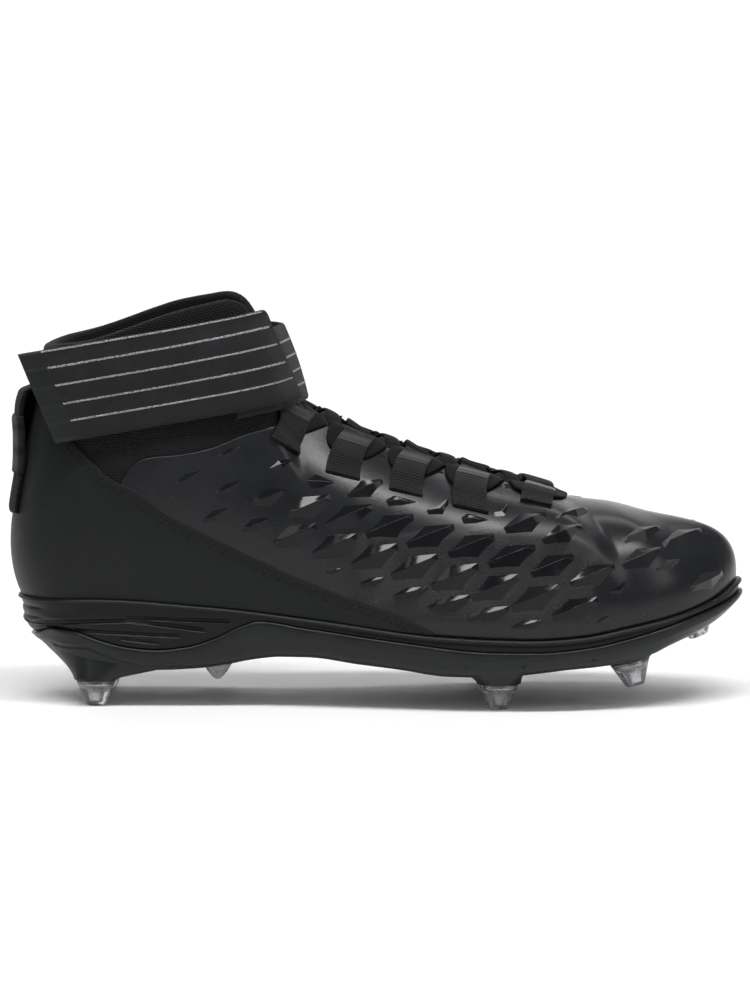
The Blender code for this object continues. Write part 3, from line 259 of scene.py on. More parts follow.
def wallSurface(r, v):
    # the upper's outside: v runs from 0 at the feather line to 1 at the topline
    r = np.asarray(r, float)
    v = np.asarray(v, float)
    section, side = sectionOf(r)
    plan = planLine(r)
    foot = np.concatenate([plan, (soleLevel(featherHeight, plan[:, 0]) + last["gap"])[:, None]], 1)
    top = topPoint(section, side)
    normal = planNormal(r)
    handles = handleCurve(section)
    lean = np.radians(handles[:, 0])[:, None]
    lean2 = np.radians(topLean(section))[:, None]
    up = np.array([0.0, 0.0, 1.0])
    inward = -normal
    inward[:, 2] = inward[:, 0] * topSlope(section) * smoothStep(8.2, last["throatEnd"], section)
    inward = unit(inward)
    chord = np.linalg.norm(top - foot, axis=1)[:, None]
    lowHandle = foot + (np.cos(lean) * up + np.sin(lean) * normal) * chord * handles[:, 1:2]
    topHandle = top - (np.cos(lean2) * up + np.sin(lean2) * inward) * chord * handles[:, 2:3]
    a, b, c, d = [p[:, None, :] for p in (foot, lowHandle, topHandle, top)]
    t = v[..., None] if v.ndim == 2 else v[None, :, None]
    s = 1 - t
    return s**3 * a + 3 * s * s * t * b + 3 * s * t * t * c + t**3 * d


def wallNormals(r, v):
    r = np.asarray(r, float)
    v = np.asarray(v, float)
    gridV = v if v.ndim == 2 else np.tile(v, (len(r), 1))
    step = 0.004
    across = wallSurface(r + step, gridV) - wallSurface(r - step, gridV)
    upward = wallSurface(r, np.minimum(gridV + step, 1)) - wallSurface(r, np.maximum(gridV - step, 0))
    normals = unit(np.cross(across, upward))
    section, _ = sectionOf(r)
    slope = topSlope(section)
    middle = unit(np.stack([-slope, np.zeros_like(slope), np.ones_like(slope)], -1))
    onMiddle = (section[:, None] >= last["throatEnd"] - 1e-9) & (gridV > 1 - 1e-9)
    return np.where(onMiddle[..., None], middle[:, None, :], normals)


def wallThickness(points):
    rise = (points[..., 2] - last["stackHeight"]) / last["collarRise"]
    return last["wall"] + (last["collarWall"] - last["wall"]) * smoothStep(0.55, 0.80, rise)


def seenHeight(points):
    # how high a point stands in the photograph's view of its own side
    return math.cos(viewTilt) * points[..., 2] - math.sin(viewTilt) * np.abs(points[..., 1])


def firstRow(r, level, seen):
    # for each ring place, the v at which the wall rises past the line level(x)
    v = np.linspace(0, 1, 400)
    points = wallSurface(r, v)
    height = seenHeight(points) if seen else points[..., 2]
    over = height > level(points[..., 0])
    return v[np.where(over.any(1), over.argmax(1), len(v) - 1)]


def seamLevel(x):
    return (last["stackHeight"] + last["collarRise"]) * seamHeight(shareAt(x))


class SideView:
    # finds places on one side of the upper by where the photograph's view shows them
    def __init__(self, side):
        line = np.linspace(3.0, last["sideSections"] - 0.05, 420)
        self.r = ringPlace(line, side)
        self.v = np.linspace(0.004, 1, 160)
        points = wallSurface(self.r, self.v)
        self.x, self.h = points[..., 0], seenHeight(points)

    def find(self, x, h):
        miss = (self.x - x) ** 2 + (self.h - h) ** 2
        i, k = np.unravel_index(np.argmin(miss), miss.shape)
        r, v = self.r[i], self.v[k]
        for _ in range(3):
            dr, dv = 0.01, 0.004
            low = min(v, 1 - dv)
            patch = wallSurface([r, r + dr], [low, low + dv])
            seen = np.stack([patch[..., 0], seenHeight(patch)], -1)
            here = seen[0, 0]
            slope = np.stack([(seen[1, 0] - here) / dr, (seen[0, 1] - here) / dv], 1)
            if abs(np.linalg.det(slope)) < 1e-9:
                break
            move = np.linalg.solve(slope, np.array([x, h]) - here)
            r += float(np.clip(move[0], -0.06, 0.06))
            v = float(np.clip(low + np.clip(move[1], -0.04, 0.04), 0.003, 1))
        return r, v, math.sqrt(miss[i, k])


def wallSpot(r, v, lift):
    return wallSurface([r], [v])[0, 0] + wallNormals([r], [v])[0, 0] * lift


# Meshes

def linked(name, data):
    made = bpy.data.objects.new(name, data)
    bpy.context.scene.collection.objects.link(made)
    return made


def finished(name, body, finishes):
    mesh = bpy.data.meshes.new(name)
    body.to_mesh(mesh)
    body.free()
    for finish in finishes:
        mesh.materials.append(finish)
    return linked(name, mesh)


def ringFaces(rows, count, base=0):
    # quads between rings of points, and a lid on the first and the last ring
    faces = []
    for k in range(rows - 1):
        for i in range(count):
            a, b = base + k * count + i, base + k * count + (i + 1) % count
            faces.append((a, b, b + count, a + count))
    end = base + rows * count
    return faces + [tuple(range(base, base + count))[::-1], tuple(range(end - count, end))]


def addObject(name, points, faces, finishes, uv=None, faceFinish=None, merge=0.0):
    body = bmesh.new()
    verts = [body.verts.new(p) for p in np.asarray(points, float).reshape(-1, 3)]
    layer = body.loops.layers.uv.new("weave") if uv is not None else None
    flatUv = None if uv is None else np.asarray(uv, float).reshape(-1, 2)
    for number, face in enumerate(faces):
        corners = []
        for i in face:
            if i not in corners:
                corners.append(i)
        if len(corners) < 3:
            continue
        made = body.faces.new([verts[i] for i in corners])
        made.smooth = True
        if faceFinish is not None:
            made.material_index = int(faceFinish[number])
        if layer is not None:
            for loop, i in zip(made.loops, corners):
                loop[layer].uv = flatUv[i]
    if merge:
        bmesh.ops.remove_doubles(body, verts=body.verts, dist=merge)
        bmesh.ops.dissolve_degenerate(body, edges=body.edges, dist=merge / 4)
    bmesh.ops.recalc_face_normals(body, faces=body.faces)
    return finished(name, body, finishes)


def place(piece, slotName, *nodes):
    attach(piece, "root")
    if nodes:
        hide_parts(*nodes)
    return piece


def arcLengths(grid, axis):
    steps = np.linalg.norm(np.diff(grid, axis=axis), axis=2)
    zero = np.zeros_like(np.take(steps, [0], axis=axis))
    return np.concatenate([zero, np.cumsum(steps, axis=axis)], axis=axis)


def shell(name, outer, inner, finishes, ringed=False, openTop=None, bulge=0.5, rimSteps=4, merge=0.0, paint=None):
    # a closed skin between two grids of the same shape, with rounded rims at the first and last row
    columns, rows = outer.shape[:2]
    openTop = np.ones(columns, bool) if openTop is None else openTop
    uv = np.stack([arcLengths(outer, 0), arcLengths(outer, 1)], -1)
    half = (outer - inner) / 2
    middle = (outer + inner) / 2
    topWay = unit(outer[:, -1] - outer[:, -2])
    lowWay = unit(outer[:, 0] - outer[:, 1])
    angles = np.linspace(0, math.pi, rimSteps + 2)[1:-1]
    size = np.linalg.norm(half, axis=2, keepdims=True)
    parts, uvs = [outer, inner], [uv, uv]
    starts = [0, columns * rows]
    for row, way in ((-1, topWay), (0, lowWay)):
        rim = [
            middle[:, row] + half[:, row] * math.cos(a) + way * size[:, row] * math.sin(a) * 2 * bulge
            for a in angles
        ]
        starts.append(sum(p.shape[0] * p.shape[1] for p in parts))
        parts.append(np.stack(rim, 1))
        rimUv = np.repeat(uv[:, [row]], rimSteps, 1)
        rimUv[..., 1] += (1 if row else -1) * size[:, row] * np.sin(angles / 2) * (1 + bulge)
        uvs.append(rimUv)
    points = np.concatenate([p.reshape(-1, 3) for p in parts])
    flatUv = np.concatenate([u.reshape(-1, 2) for u in uvs])
    faces, mark = [], []
    reach = columns if ringed else columns - 1
    for i in range(reach):
        j = (i + 1) % columns
        for k in range(rows - 1):
            a, b = i * rows + k, j * rows + k
            faces.append((a, b, b + 1, a + 1))
            faces.append((a + starts[1], a + 1 + starts[1], b + 1 + starts[1], b + starts[1]))
            mark += [0, 1] if paint is None else [paint(i, k), 0]
        for edge, row in ((2, rows - 1), (3, 0)):
            if edge == 2 and not (openTop[i] or openTop[j]):
                continue
            strip = []
            for c in (i, j):
                base = starts[edge] + c * rimSteps
                strip.append([c * rows + row] + [base + s for s in range(rimSteps)] + [starts[1] + c * rows + row])
            for s in range(rimSteps + 1):
                faces.append((strip[0][s], strip[1][s], strip[1][s + 1], strip[0][s + 1]))
                mark.append(0 if s < rimSteps // 2 or paint else 1)
    if not ringed:
        for c in (0, columns - 1):
            for k in range(rows - 1):
                a, b = c * rows + k, starts[1] + c * rows + k
                faces.append((a, a + 1, b + 1, b))
                mark.append(0)
            for edge, row in ((2, rows - 1), (3, 0)):
                base = starts[edge] + c * rimSteps
                faces.append([c * rows + row] + [base + s for s in range(rimSteps)] + [starts[1] + c * rows + row])
                mark.append(0)
    marks = mark if len(finishes) > 1 else None
    return addObject(name, points, faces, finishes, flatUv, marks, merge)


def band(name, path, normals, width, thickness, finishes, weft=None, sides=10, squareness=3.0, rowFinish=None):
    # a flat band of rounded section along a path; width and thickness may vary along it
    path, normals = np.asarray(path, float), unit(np.asarray(normals, float))
    along = unit(np.gradient(path, axis=0))
    side = unit(np.cross(along, normals))
    if weft is not None:
        side = unit(weft - normals * (normals @ weft)[:, None])
        side *= np.sign((np.cross(along, normals) @ weft).sum())
    lift = unit(np.cross(side, along))
    width = np.broadcast_to(width, len(path))[:, None, None]
    thickness = np.broadcast_to(thickness, len(path))[:, None, None]
    turn = np.arange(sides) * 2 * math.pi / sides
    c, s = np.cos(turn), np.sin(turn)
    cx = np.sign(c) * np.abs(c) ** (2 / squareness)
    cy = np.sign(s) * np.abs(s) ** (2 / squareness)
    rings = path[:, None] + side[:, None] * cx[None, :, None] * width / 2
    rings = rings + lift[:, None] * cy[None, :, None] * thickness / 2
    count = len(path)
    length = arcOf(path)
    uv = np.stack(np.broadcast_arrays(length[:, None], cx[None, :] * width[:, :, 0] / 2), -1)
    mark = np.repeat([0] * (count - 1) if rowFinish is None else rowFinish, sides)
    return addObject(name, rings, ringFaces(count, sides), finishes, uv, [*mark, mark[0], mark[-1]])


def smoothPath(points, count):
    # points along a natural spline through the given ones, evenly spaced
    points = np.asarray(points, float)
    knots = np.concatenate([[0], np.cumsum(np.linalg.norm(np.diff(points, axis=0), axis=1) ** 0.7)])
    n = len(points)
    step = np.diff(knots)
    matrix = np.eye(n)
    bend = np.zeros_like(points)
    for i in range(1, n - 1):
        matrix[i, i - 1 : i + 2] = step[i - 1], 2 * (step[i - 1] + step[i]), step[i]
        bend[i] = 6 * ((points[i + 1] - points[i]) / step[i] - (points[i] - points[i - 1]) / step[i - 1])
    moments = np.linalg.solve(matrix, bend)
    s = np.linspace(0, knots[-1], count * 4)
    i = np.clip(np.searchsorted(knots, s, "right") - 1, 0, n - 2)
    h = step[i][:, None]
    t = ((s - knots[i]) / step[i])[:, None]
    u = 1 - t
    fine = u * points[i] + t * points[i + 1]
    fine = fine + ((u**3 - u) * moments[i] + (t**3 - t) * moments[i + 1]) * h * h / 6
    arc = arcOf(fine)
    even = np.linspace(0, arc[-1], count)
    return np.stack([np.interp(even, arc, fine[:, k]) for k in range(fine.shape[1])], 1)


def joinAll(name, pieces):
    body = bmesh.new()
    finishes = []
    for piece in pieces:
        names = [m.name for m in piece.data.materials]
        for m in piece.data.materials:
            if m not in finishes:
                finishes.append(m)
        start = len(body.faces)
        body.from_mesh(piece.data)
        body.faces.ensure_lookup_table()
        for face in body.faces[start:]:
            face.material_index = [f.name for f in finishes].index(names[face.material_index])
        mesh = piece.data
        bpy.data.objects.remove(piece)
        bpy.data.meshes.remove(mesh)
    return finished(name, body, finishes)


def stitches(name, path, normals, finish, length=0.0022, gap=0.0010, radius=0.00028, lift=0.0):
    # a row of short thread ends along a path, half sunk
    path, normals = np.asarray(path), unit(np.asarray(normals))
    arc = arcOf(path)
    starts = np.arange(gap, arc[-1] - length, length + gap)
    points, faces = [], []
    sides = 6
    shape = ((0.0, 0.25), (0.12, 0.85), (0.5, 1.0), (0.88, 0.85), (1.0, 0.25))
    for s in starts:
        base = len(points)
        spots = [s + length * a for a, _ in shape]
        centre = np.stack([np.interp(spots, arc, path[:, k]) for k in range(3)], 1)
        normal = unit(np.stack([np.interp(spots, arc, normals[:, k]) for k in range(3)], 1))
        along = unit(centre[-1] - centre[0])
        for p, n, (share, size) in zip(centre, normal, shape):
            side = np.cross(n, along)
            sink = lift - radius * 0.55 * abs(2 * share - 1) ** 3
            for a in np.arange(sides) * 2 * math.pi / sides:
                points.append(p + n * (sink + math.sin(a) * radius * size) + side * math.cos(a) * radius * size * 1.3)
        faces += ringFaces(len(shape), sides, base)
    return addObject(name, points, faces, [finish])


# Finishes

def setSocket(socket, value):
    if hasattr(value, "links"):
        socket.node.id_data.links.new(value, socket)
    else:
        socket.default_value = value


def addNode(tree, kind, inputs=(), **settings):
    node = tree.nodes.new(kind)
    for key, value in settings.items():
        setattr(node, key, value)
    for key, value in dict(inputs).items():
        setSocket(node.inputs[key], value)
    return node


def mathNode(tree, operation, *values):
    node = tree.nodes.new("ShaderNodeMath")
    node.operation = operation
    for i, value in enumerate(values):
        setSocket(node.inputs[i], value)
    return node.outputs[0]


def mixColors(tree, share, low, high):
    node = addNode(tree, "ShaderNodeMix", data_type="RGBA")
    for i, value in ((0, share), (6, low), (7, high)):
        setSocket(node.inputs[i], value)
    return node.outputs[2]


def noiseNode(tree, where, scale, detail, **more):
    inputs = {"Vector": where, "Scale": scale, "Detail": detail, **more}
    return addNode(tree, "ShaderNodeTexNoise", inputs).outputs["Fac"]


def tinted(base, factor):
    return tuple(c * factor for c in base[:3]) + (1,)


def mapRange(tree, value, low, high, toLow=0.0, toHigh=1.0, smooth=True):
    node = tree.nodes.new("ShaderNodeMapRange")
    node.interpolation_type = "SMOOTHSTEP" if smooth else "LINEAR"
    for key, item in (("Value", value), ("From Min", low), ("From Max", high), ("To Min", toLow), ("To Max", toHigh)):
        setSocket(node.inputs[key], item)
    return node.outputs[0]


def newGroup(name, inputs, outputs):
    tree = bpy.data.node_groups.new(name, "ShaderNodeTree")
    for label, kind, value in inputs:
        made = tree.interface.new_socket(label, in_out="INPUT", socket_type="NodeSocket" + kind)
        if value is not None:
            made.default_value = value
    for label, kind in outputs:
        tree.interface.new_socket(label, in_out="OUTPUT", socket_type="NodeSocket" + kind)
    return tree, tree.nodes.new("NodeGroupInput").outputs, tree.nodes.new("NodeGroupOutput").inputs


def grainGroup():
    # fine pebble grain with pores, and the low swell under it
    tree, given, out = newGroup(
        "pebbleGrain",
        [("Vector", "Vector", None), ("Scale", "Float", 900.0), ("Swell", "Float", 0.4)],
        [("Height", "Float"), ("Pores", "Float")],
    )
    cells = addNode(tree, "ShaderNodeTexVoronoi", {"Vector": given["Vector"], "Scale": given["Scale"]}, feature="F1")
    noise = noiseNode(tree, given["Vector"], 140.0, 3.0)
    pores = mapRange(tree, cells.outputs["Distance"], 0.05, 0.5)
    swell = mathNode(tree, "MULTIPLY", noise, given["Swell"])
    setSocket(out["Height"], mathNode(tree, "ADD", pores, swell))
    setSocket(out["Pores"], pores)
    return tree


def mottleGroup():
    # uneven tone: handling marks, faint dust and scuffs over a base colour
    tree, given, out = newGroup(
        "handledTone",
        [
            ("Vector", "Vector", None), ("Base", "Color", (0.02, 0.02, 0.02, 1)),
            ("Dust", "Color", (0.06, 0.06, 0.06, 1)), ("Amount", "Float", 0.4), ("Scale", "Float", 30.0),
        ],
        [("Color", "Color"), ("Mask", "Float"), ("Scuff", "Float")],
    )
    broad = noiseNode(tree, given["Vector"], given["Scale"], 5.0, Roughness=0.62)
    fine = noiseNode(tree, given["Vector"], 620.0, 2.0)
    stretched = addNode(tree, "ShaderNodeMapping", {"Vector": given["Vector"], "Scale": (60.0, 60.0, 420.0)})
    scuffs = noiseNode(tree, stretched.outputs[0], 1.4, 4.0, Roughness=0.7)
    mask = mapRange(tree, broad, 0.42, 0.72)
    speck = mapRange(tree, fine, 0.55, 0.75)
    scuff = mapRange(tree, scuffs, 0.60, 0.74)
    both = mathNode(tree, "ADD", mathNode(tree, "MULTIPLY", mask, 0.65), mathNode(tree, "MULTIPLY", speck, 0.25))
    share = mathNode(tree, "MULTIPLY", both, given["Amount"])
    setSocket(out["Color"], mixColors(tree, share, given["Base"], given["Dust"]))
    setSocket(out["Mask"], mask)
    setSocket(out["Scuff"], scuff)
    return tree


def weaveGroup():
    # a plain weave in the piece's own flat coordinates, in metres: warp runs along U, weft along V
    tree, given, out = newGroup(
        "plainWeave",
        [("Vector", "Vector", None), ("Warp", "Float", 0.0008), ("Weft", "Float", 0.0012), ("Offset", "Float", 0.5)],
        [("Height", "Float"), ("Mask", "Float")],
    )
    apart = addNode(tree, "ShaderNodeSeparateXYZ", {"Vector": given["Vector"]})
    u = mathNode(tree, "DIVIDE", apart.outputs[0], given["Weft"])
    v = mathNode(tree, "DIVIDE", apart.outputs[1], given["Warp"])
    row = mathNode(tree, "FLOOR", v)
    shifted = mathNode(tree, "ADD", u, mathNode(tree, "MULTIPLY", row, given["Offset"]))
    wave = mathNode(tree, "ABSOLUTE", mathNode(tree, "SINE", mathNode(tree, "MULTIPLY", shifted, math.pi)))
    ridge = mathNode(tree, "ABSOLUTE", mathNode(tree, "SINE", mathNode(tree, "MULTIPLY", v, math.pi)))
    height = mathNode(tree, "MULTIPLY", mathNode(tree, "POWER", wave, 0.6), mathNode(tree, "POWER", ridge, 0.6))
    rough = mathNode(tree, "MULTIPLY", noiseNode(tree, given["Vector"], 5200.0, 2.0), 0.35)
    setSocket(out["Height"], mathNode(tree, "ADD", height, rough))
    setSocket(out["Mask"], height)
    return tree


def ribGroup():
    # straight cords side by side across U, with a finer thread along them
    tree, given, out = newGroup(
        "cordRibs",
        [("Vector", "Vector", None), ("Pitch", "Float", 0.0009), ("Thread", "Float", 0.0005)],
        [("Height", "Float"), ("Mask", "Float")],
    )
    apart = addNode(tree, "ShaderNodeSeparateXYZ", {"Vector": given["Vector"]})
    u = mathNode(tree, "MULTIPLY", mathNode(tree, "DIVIDE", apart.outputs[0], given["Pitch"]), math.pi)
    v = mathNode(tree, "MULTIPLY", mathNode(tree, "DIVIDE", apart.outputs[1], given["Thread"]), math.pi)
    rib = mathNode(tree, "ABSOLUTE", mathNode(tree, "SINE", u))
    thread = mathNode(tree, "ABSOLUTE", mathNode(tree, "SINE", v))
    fibre = noiseNode(tree, given["Vector"], 3800.0, 3.0)
    height = mathNode(tree, "ADD", rib, mathNode(tree, "MULTIPLY", thread, 0.30))
    height = mathNode(tree, "ADD", height, mathNode(tree, "MULTIPLY", fibre, 0.30))
    setSocket(out["Height"], height)
    setSocket(out["Mask"], rib)
    return tree


groups = {"grain": grainGroup(), "mottle": mottleGroup(), "weave": weaveGroup(), "ribs": ribGroup()}


def groupNode(tree, name, inputs):
    node = tree.nodes.new("ShaderNodeGroup")
    node.node_tree = groups[name]
    for key, value in inputs.items():
        setSocket(node.inputs[key], value)
    return node.outputs


def startFinish(name, constants):
    made = bpy.data.materials.new(name)
    made.use_nodes = True
    tree = made.node_tree
    shader = tree.nodes["Principled BSDF"]
    for key, value in constants.items():
        shader.inputs[key].default_value = value
    return made, tree, shader


def bump(tree, shader, height, distance, strength=1.0, below=None):
    node = addNode(tree, "ShaderNodeBump", {"Height": height, "Distance": distance, "Strength": strength})
    if below is not None:
        setSocket(node.inputs["Normal"], below)
    setSocket(shader.inputs["Normal"], node.outputs[0])
    return node.outputs[0]


def bodyPlace(tree):
    return addNode(tree, "ShaderNodeTexCoord").outputs["Object"]


def flatPlace(tree):
    return addNode(tree, "ShaderNodeUVMap", uv_map="weave").outputs[0]


def handled(tree, shader, where, base, dust, amount, scale, rough):
    # an uneven base colour, rougher where it is dusty
    tone = groupNode(tree, "mottle", {"Vector": where, "Base": base, "Dust": dust, "Amount": amount, "Scale": scale})
    setSocket(shader.inputs["Base Color"], tone["Color"])
    setSocket(shader.inputs["Roughness"], mapRange(tree, tone["Mask"], 0, 1, *rough))


def plainFinish(name, constants, tone, relief, depth, strength=1.0):
    # tone is base, dust, amount, scale and roughness; relief is its kind, scale, and swell or detail
    made, tree, shader = startFinish(name, constants)
    where = bodyPlace(tree)
    handled(tree, shader, where, *tone)
    kind, scale, amount = relief
    if kind == "grain":
        height = groupNode(tree, "grain", {"Vector": where, "Scale": scale, "Swell": amount})["Height"]
    else:
        height = noiseNode(tree, where, scale, amount)
    bump(tree, shader, height, depth, strength)
    return made


def filmFinish():
    # glossy moulded film over the knit, with a fine woven relief in the channels of the forefoot
    look = {
        "base": (0.0071, 0.0077, 0.0087, 1), "dust": (0.0211, 0.0223, 0.0242, 1), "rough": (0.27, 0.38),
        "dots": 0.00065, "dotDepth": 0.00025, "dotsFrom": -0.012, "dotsTo": 0.098, "dotsLow": 0.036, "dotsHigh": 0.078,
    }
    constants = {"Coat Weight": 0.10, "Coat Roughness": 0.18, "Specular IOR Level": 0.26}
    made, tree, shader = startFinish("mouldedFilm", constants)
    where = bodyPlace(tree)
    handled(tree, shader, where, look["base"], look["dust"], 0.35, 26.0, look["rough"])
    grain = groupNode(tree, "grain", {"Vector": where, "Scale": 1500.0, "Swell": 0.8})
    apart = addNode(tree, "ShaderNodeSeparateXYZ", {"Vector": where})
    x, z = apart.outputs[0], apart.outputs[2]
    edges = ((x, "dotsFrom", 0.012), (x, "dotsTo", -0.012), (z, "dotsLow", 0.006), (z, "dotsHigh", -0.008))
    fades = [mapRange(tree, value, look[key], look[key] + fade) for value, key, fade in edges]
    inX, inZ = mathNode(tree, "MULTIPLY", *fades[:2]), mathNode(tree, "MULTIPLY", *fades[2:])
    zone = mathNode(tree, "MULTIPLY", inX, inZ)
    pitch = {"Warp": look["dots"], "Weft": look["dots"] * 2, "Offset": 0.5}
    dots = groupNode(tree, "weave", {"Vector": flatPlace(tree), **pitch})
    relief = mathNode(tree, "MULTIPLY", dots["Mask"], zone)
    first = addNode(tree, "ShaderNodeBump", {"Height": grain["Height"], "Distance": 0.00003, "Strength": 0.6})
    bump(tree, shader, relief, look["dotDepth"], 1.0, first.outputs[0])
    return made


def knitFinish(name, base, warp, weft, depth, sheen):
    made, tree, shader = startFinish(name, {"Sheen Weight": sheen, "Sheen Roughness": 0.55, "Specular IOR Level": 0.12})
    flat, where = flatPlace(tree), bodyPlace(tree)
    weave = groupNode(tree, "weave", {"Vector": flat, "Warp": warp, "Weft": weft, "Offset": 0.5})
    dust = {"Dust": tinted(base, 2.2), "Amount": 0.45, "Scale": 60.0}
    tone = groupNode(tree, "mottle", {"Vector": where, "Base": base, **dust})
    # the low parts of the weave, between the yarns, are painted darker: painted shade in the gaps
    setSocket(shader.inputs["Base Color"], mixColors(tree, weave["Mask"], tinted(base, 0.35), tone["Color"]))
    setSocket(shader.inputs["Roughness"], mapRange(tree, weave["Mask"], 0, 1, 0.95, 0.74))
    bump(tree, shader, weave["Height"], depth)
    return made


def ribbedFinish(name, base, pitch, thread, depth, rough=(0.85, 0.62), sheen=0.05):
    made, tree, shader = startFinish(name, {"Sheen Weight": sheen, "Sheen Roughness": 0.45, "Specular IOR Level": 0.20})
    flat, where = flatPlace(tree), bodyPlace(tree)
    ribs = groupNode(tree, "ribs", {"Vector": flat, "Pitch": pitch, "Thread": thread})
    dust = {"Dust": tinted(base, 2.4), "Amount": 0.5, "Scale": 80.0}
    tone = groupNode(tree, "mottle", {"Vector": where, "Base": base, **dust})
    # the grooves between the cords are painted darker: painted shade
    share = mapRange(tree, ribs["Mask"], 0.0, 0.8, 0.25, 1.0)
    setSocket(shader.inputs["Base Color"], mixColors(tree, share, tinted(base, 0.3), tone["Color"]))
    setSocket(shader.inputs["Roughness"], mapRange(tree, ribs["Mask"], 0, 1, *rough))
    bump(tree, shader, ribs["Height"], depth)
    return made


def silverFinish():
    # reflective yarn: bright, broken into short floats
    made, tree, shader = startFinish("silverYarn", {"Metallic": 0.25, "Specular IOR Level": 0.6})
    flat = flatPlace(tree)
    ribs = groupNode(tree, "ribs", {"Vector": flat, "Pitch": 0.0009, "Thread": 0.0003})
    floats = mapRange(tree, noiseNode(tree, flat, 1500.0, 3.0), 0.38, 0.56)
    # the yarn is painted darker in the grooves between the cords (painted shade); its bright floats are the yarn's own
    # colour
    share = mathNode(tree, "MULTIPLY", floats, mapRange(tree, ribs["Mask"], 0.0, 0.6, 0.45, 1.0))
    yarn = mixColors(tree, share, (0.05, 0.05, 0.052, 1), (0.36, 0.36, 0.375, 1))
    setSocket(shader.inputs["Base Color"], yarn)
    setSocket(shader.inputs["Roughness"], mapRange(tree, share, 0, 1, 0.6, 0.35))
    bump(tree, shader, ribs["Height"], 0.00012)
    return made


def mouldedFinish(name, base, rough, grainScale, depth, coat=0.0):
    made, tree, shader = startFinish(name, {"Coat Weight": coat, "Coat Roughness": 0.2, "Specular IOR Level": 0.22})
    where = bodyPlace(tree)
    dust = tinted(base, 2.8)
    tone = groupNode(tree, "mottle", {"Vector": where, "Base": base, "Dust": dust, "Amount": 0.35, "Scale": 34.0})
    share = mathNode(tree, "MULTIPLY", tone["Scuff"], 0.25)
    setSocket(shader.inputs["Base Color"], mixColors(tree, share, tone["Color"], tinted(base, 3.6)))
    level = mathNode(tree, "ADD", tone["Mask"], mathNode(tree, "MULTIPLY", tone["Scuff"], 0.6))
    setSocket(shader.inputs["Roughness"], mapRange(tree, level, 0, 1.6, *rough))
    grain = groupNode(tree, "grain", {"Vector": where, "Scale": grainScale, "Swell": 0.6})
    bump(tree, shader, grain["Height"], depth)
    return made


finishes = {
    "film": filmFinish(),
    "scale": plainFinish(
        "glossyScale", {"Coat Weight": 0.18, "Coat Roughness": 0.05, "Specular IOR Level": 0.12},
        ((0.0050, 0.0054, 0.0064, 1), (0.022, 0.023, 0.025, 1), 0.22, 55.0, (0.08, 0.18)),
        ("swell", 210.0, 2.0), 0.00006, 0.7,
    ),
    "quarter": plainFinish(
        "matteQuarter", {"Sheen Weight": 0.02, "Sheen Roughness": 0.5, "Specular IOR Level": 0.18},
        ((0.0074, 0.0083, 0.0088, 1), (0.0220, 0.0231, 0.0242, 1), 0.30, 22.0, (0.46, 0.58)),
        ("grain", 2100.0, 0.5), 0.00004, 0.8,
    ),
    "knit": knitFinish("ankleKnit", (0.0074, 0.0077, 0.0091, 1), 0.0011, 0.0022, 0.00045, 0.07),
    "lining": knitFinish("smoothLining", (0.0069, 0.0072, 0.0083, 1), 0.0011, 0.0022, 0.00040, 0.07),
    "tongue": knitFinish("tongueCloth", (0.0060, 0.0063, 0.0072, 1), 0.0008, 0.0016, 0.00030, 0.06),
    "sock": knitFinish("insoleCloth", (0.0127, 0.0129, 0.0138, 1), 0.0009, 0.0018, 0.00020, 0.10),
    "foam": mouldedFinish("midsoleFoam", (0.0091, 0.0099, 0.0105, 1), (0.38, 0.52), 1300.0, 0.00005),
    "plate": mouldedFinish("plateMoulding", (0.0083, 0.0091, 0.0095, 1), (0.28, 0.44), 1700.0, 0.00004, 0.10),
    # a darker copy of the foam, put on the faces deep in the midsole's grooves: painted shade
    "groove": mouldedFinish("paintedGrooveShade", (0.0044, 0.0047, 0.0050, 1), (0.34, 0.5), 1500.0, 0.00004),
    "webbing": ribbedFinish("loopWebbing", (0.0085, 0.0091, 0.0102, 1), 0.00125, 0.00042, 0.00030),
    "satin": ribbedFinish("loopSatin", (0.0264, 0.0275, 0.0297, 1), 0.0030, 0.00022, 0.00006, (0.46, 0.34), 0.15),
    "lace": knitFinish("wovenLace", (0.0055, 0.0058, 0.0065, 1), 0.0008, 0.0013, 0.00016, 0.05),
    "pull": ribbedFinish("pullRibs", (0.0066, 0.0069, 0.0077, 1), 0.0100, 0.0011, 0.00035),
    "pullMesh": knitFinish("pullMesh", (0.0060, 0.0063, 0.0072, 1), 0.0016, 0.0030, 0.00060, 0.05),
    "elastic": ribbedFinish("strapElastic", (0.0110, 0.0113, 0.0124, 1), 0.00062, 0.00110, 0.00014, (0.82, 0.60), 0.06),
    "border": mouldedFinish("strapBorder", (0.0105, 0.0113, 0.0118, 1), (0.40, 0.5), 900.0, 0.00004),
    "silver": silverFinish(),
    "thread": ribbedFinish("sewingThread", (0.0055, 0.0058, 0.0063, 1), 0.0005, 0.0003, 0.00008, (0.6, 0.42), 0.05),
    "stud": plainFinish(
        "clearStud", {"Transmission Weight": 0.96, "IOR": 1.46, "Coat Weight": 0.3, "Coat Roughness": 0.03},
        ((0.90, 0.91, 0.92, 1), (0.62, 0.63, 0.64, 1), 0.5, 160.0, (0.02, 0.12)),
        ("swell", 380.0, 3.0), 0.00025, 0.8,
    ),
    "tooth": plainFinish(
        "greyTooth", {"Transmission Weight": 0.45, "IOR": 1.46, "Coat Weight": 0.2},
        ((0.62, 0.62, 0.63, 1), (0.42, 0.42, 0.43, 1), 0.6, 120.0, (0.22, 0.42)),
        ("swell", 500.0, 2.0), 0.0002, 0.6,
    ),
    "steel": plainFinish(
        "threadedSteel", {"Metallic": 1.0},
        ((0.55, 0.55, 0.56, 1), (0.30, 0.30, 0.31, 1), 0.6, 200.0, (0.25, 0.45)),
        ("grain", 1800.0, 0.3), 0.00003,
    ),
}
print("finishes made")

# Camera, floor and light

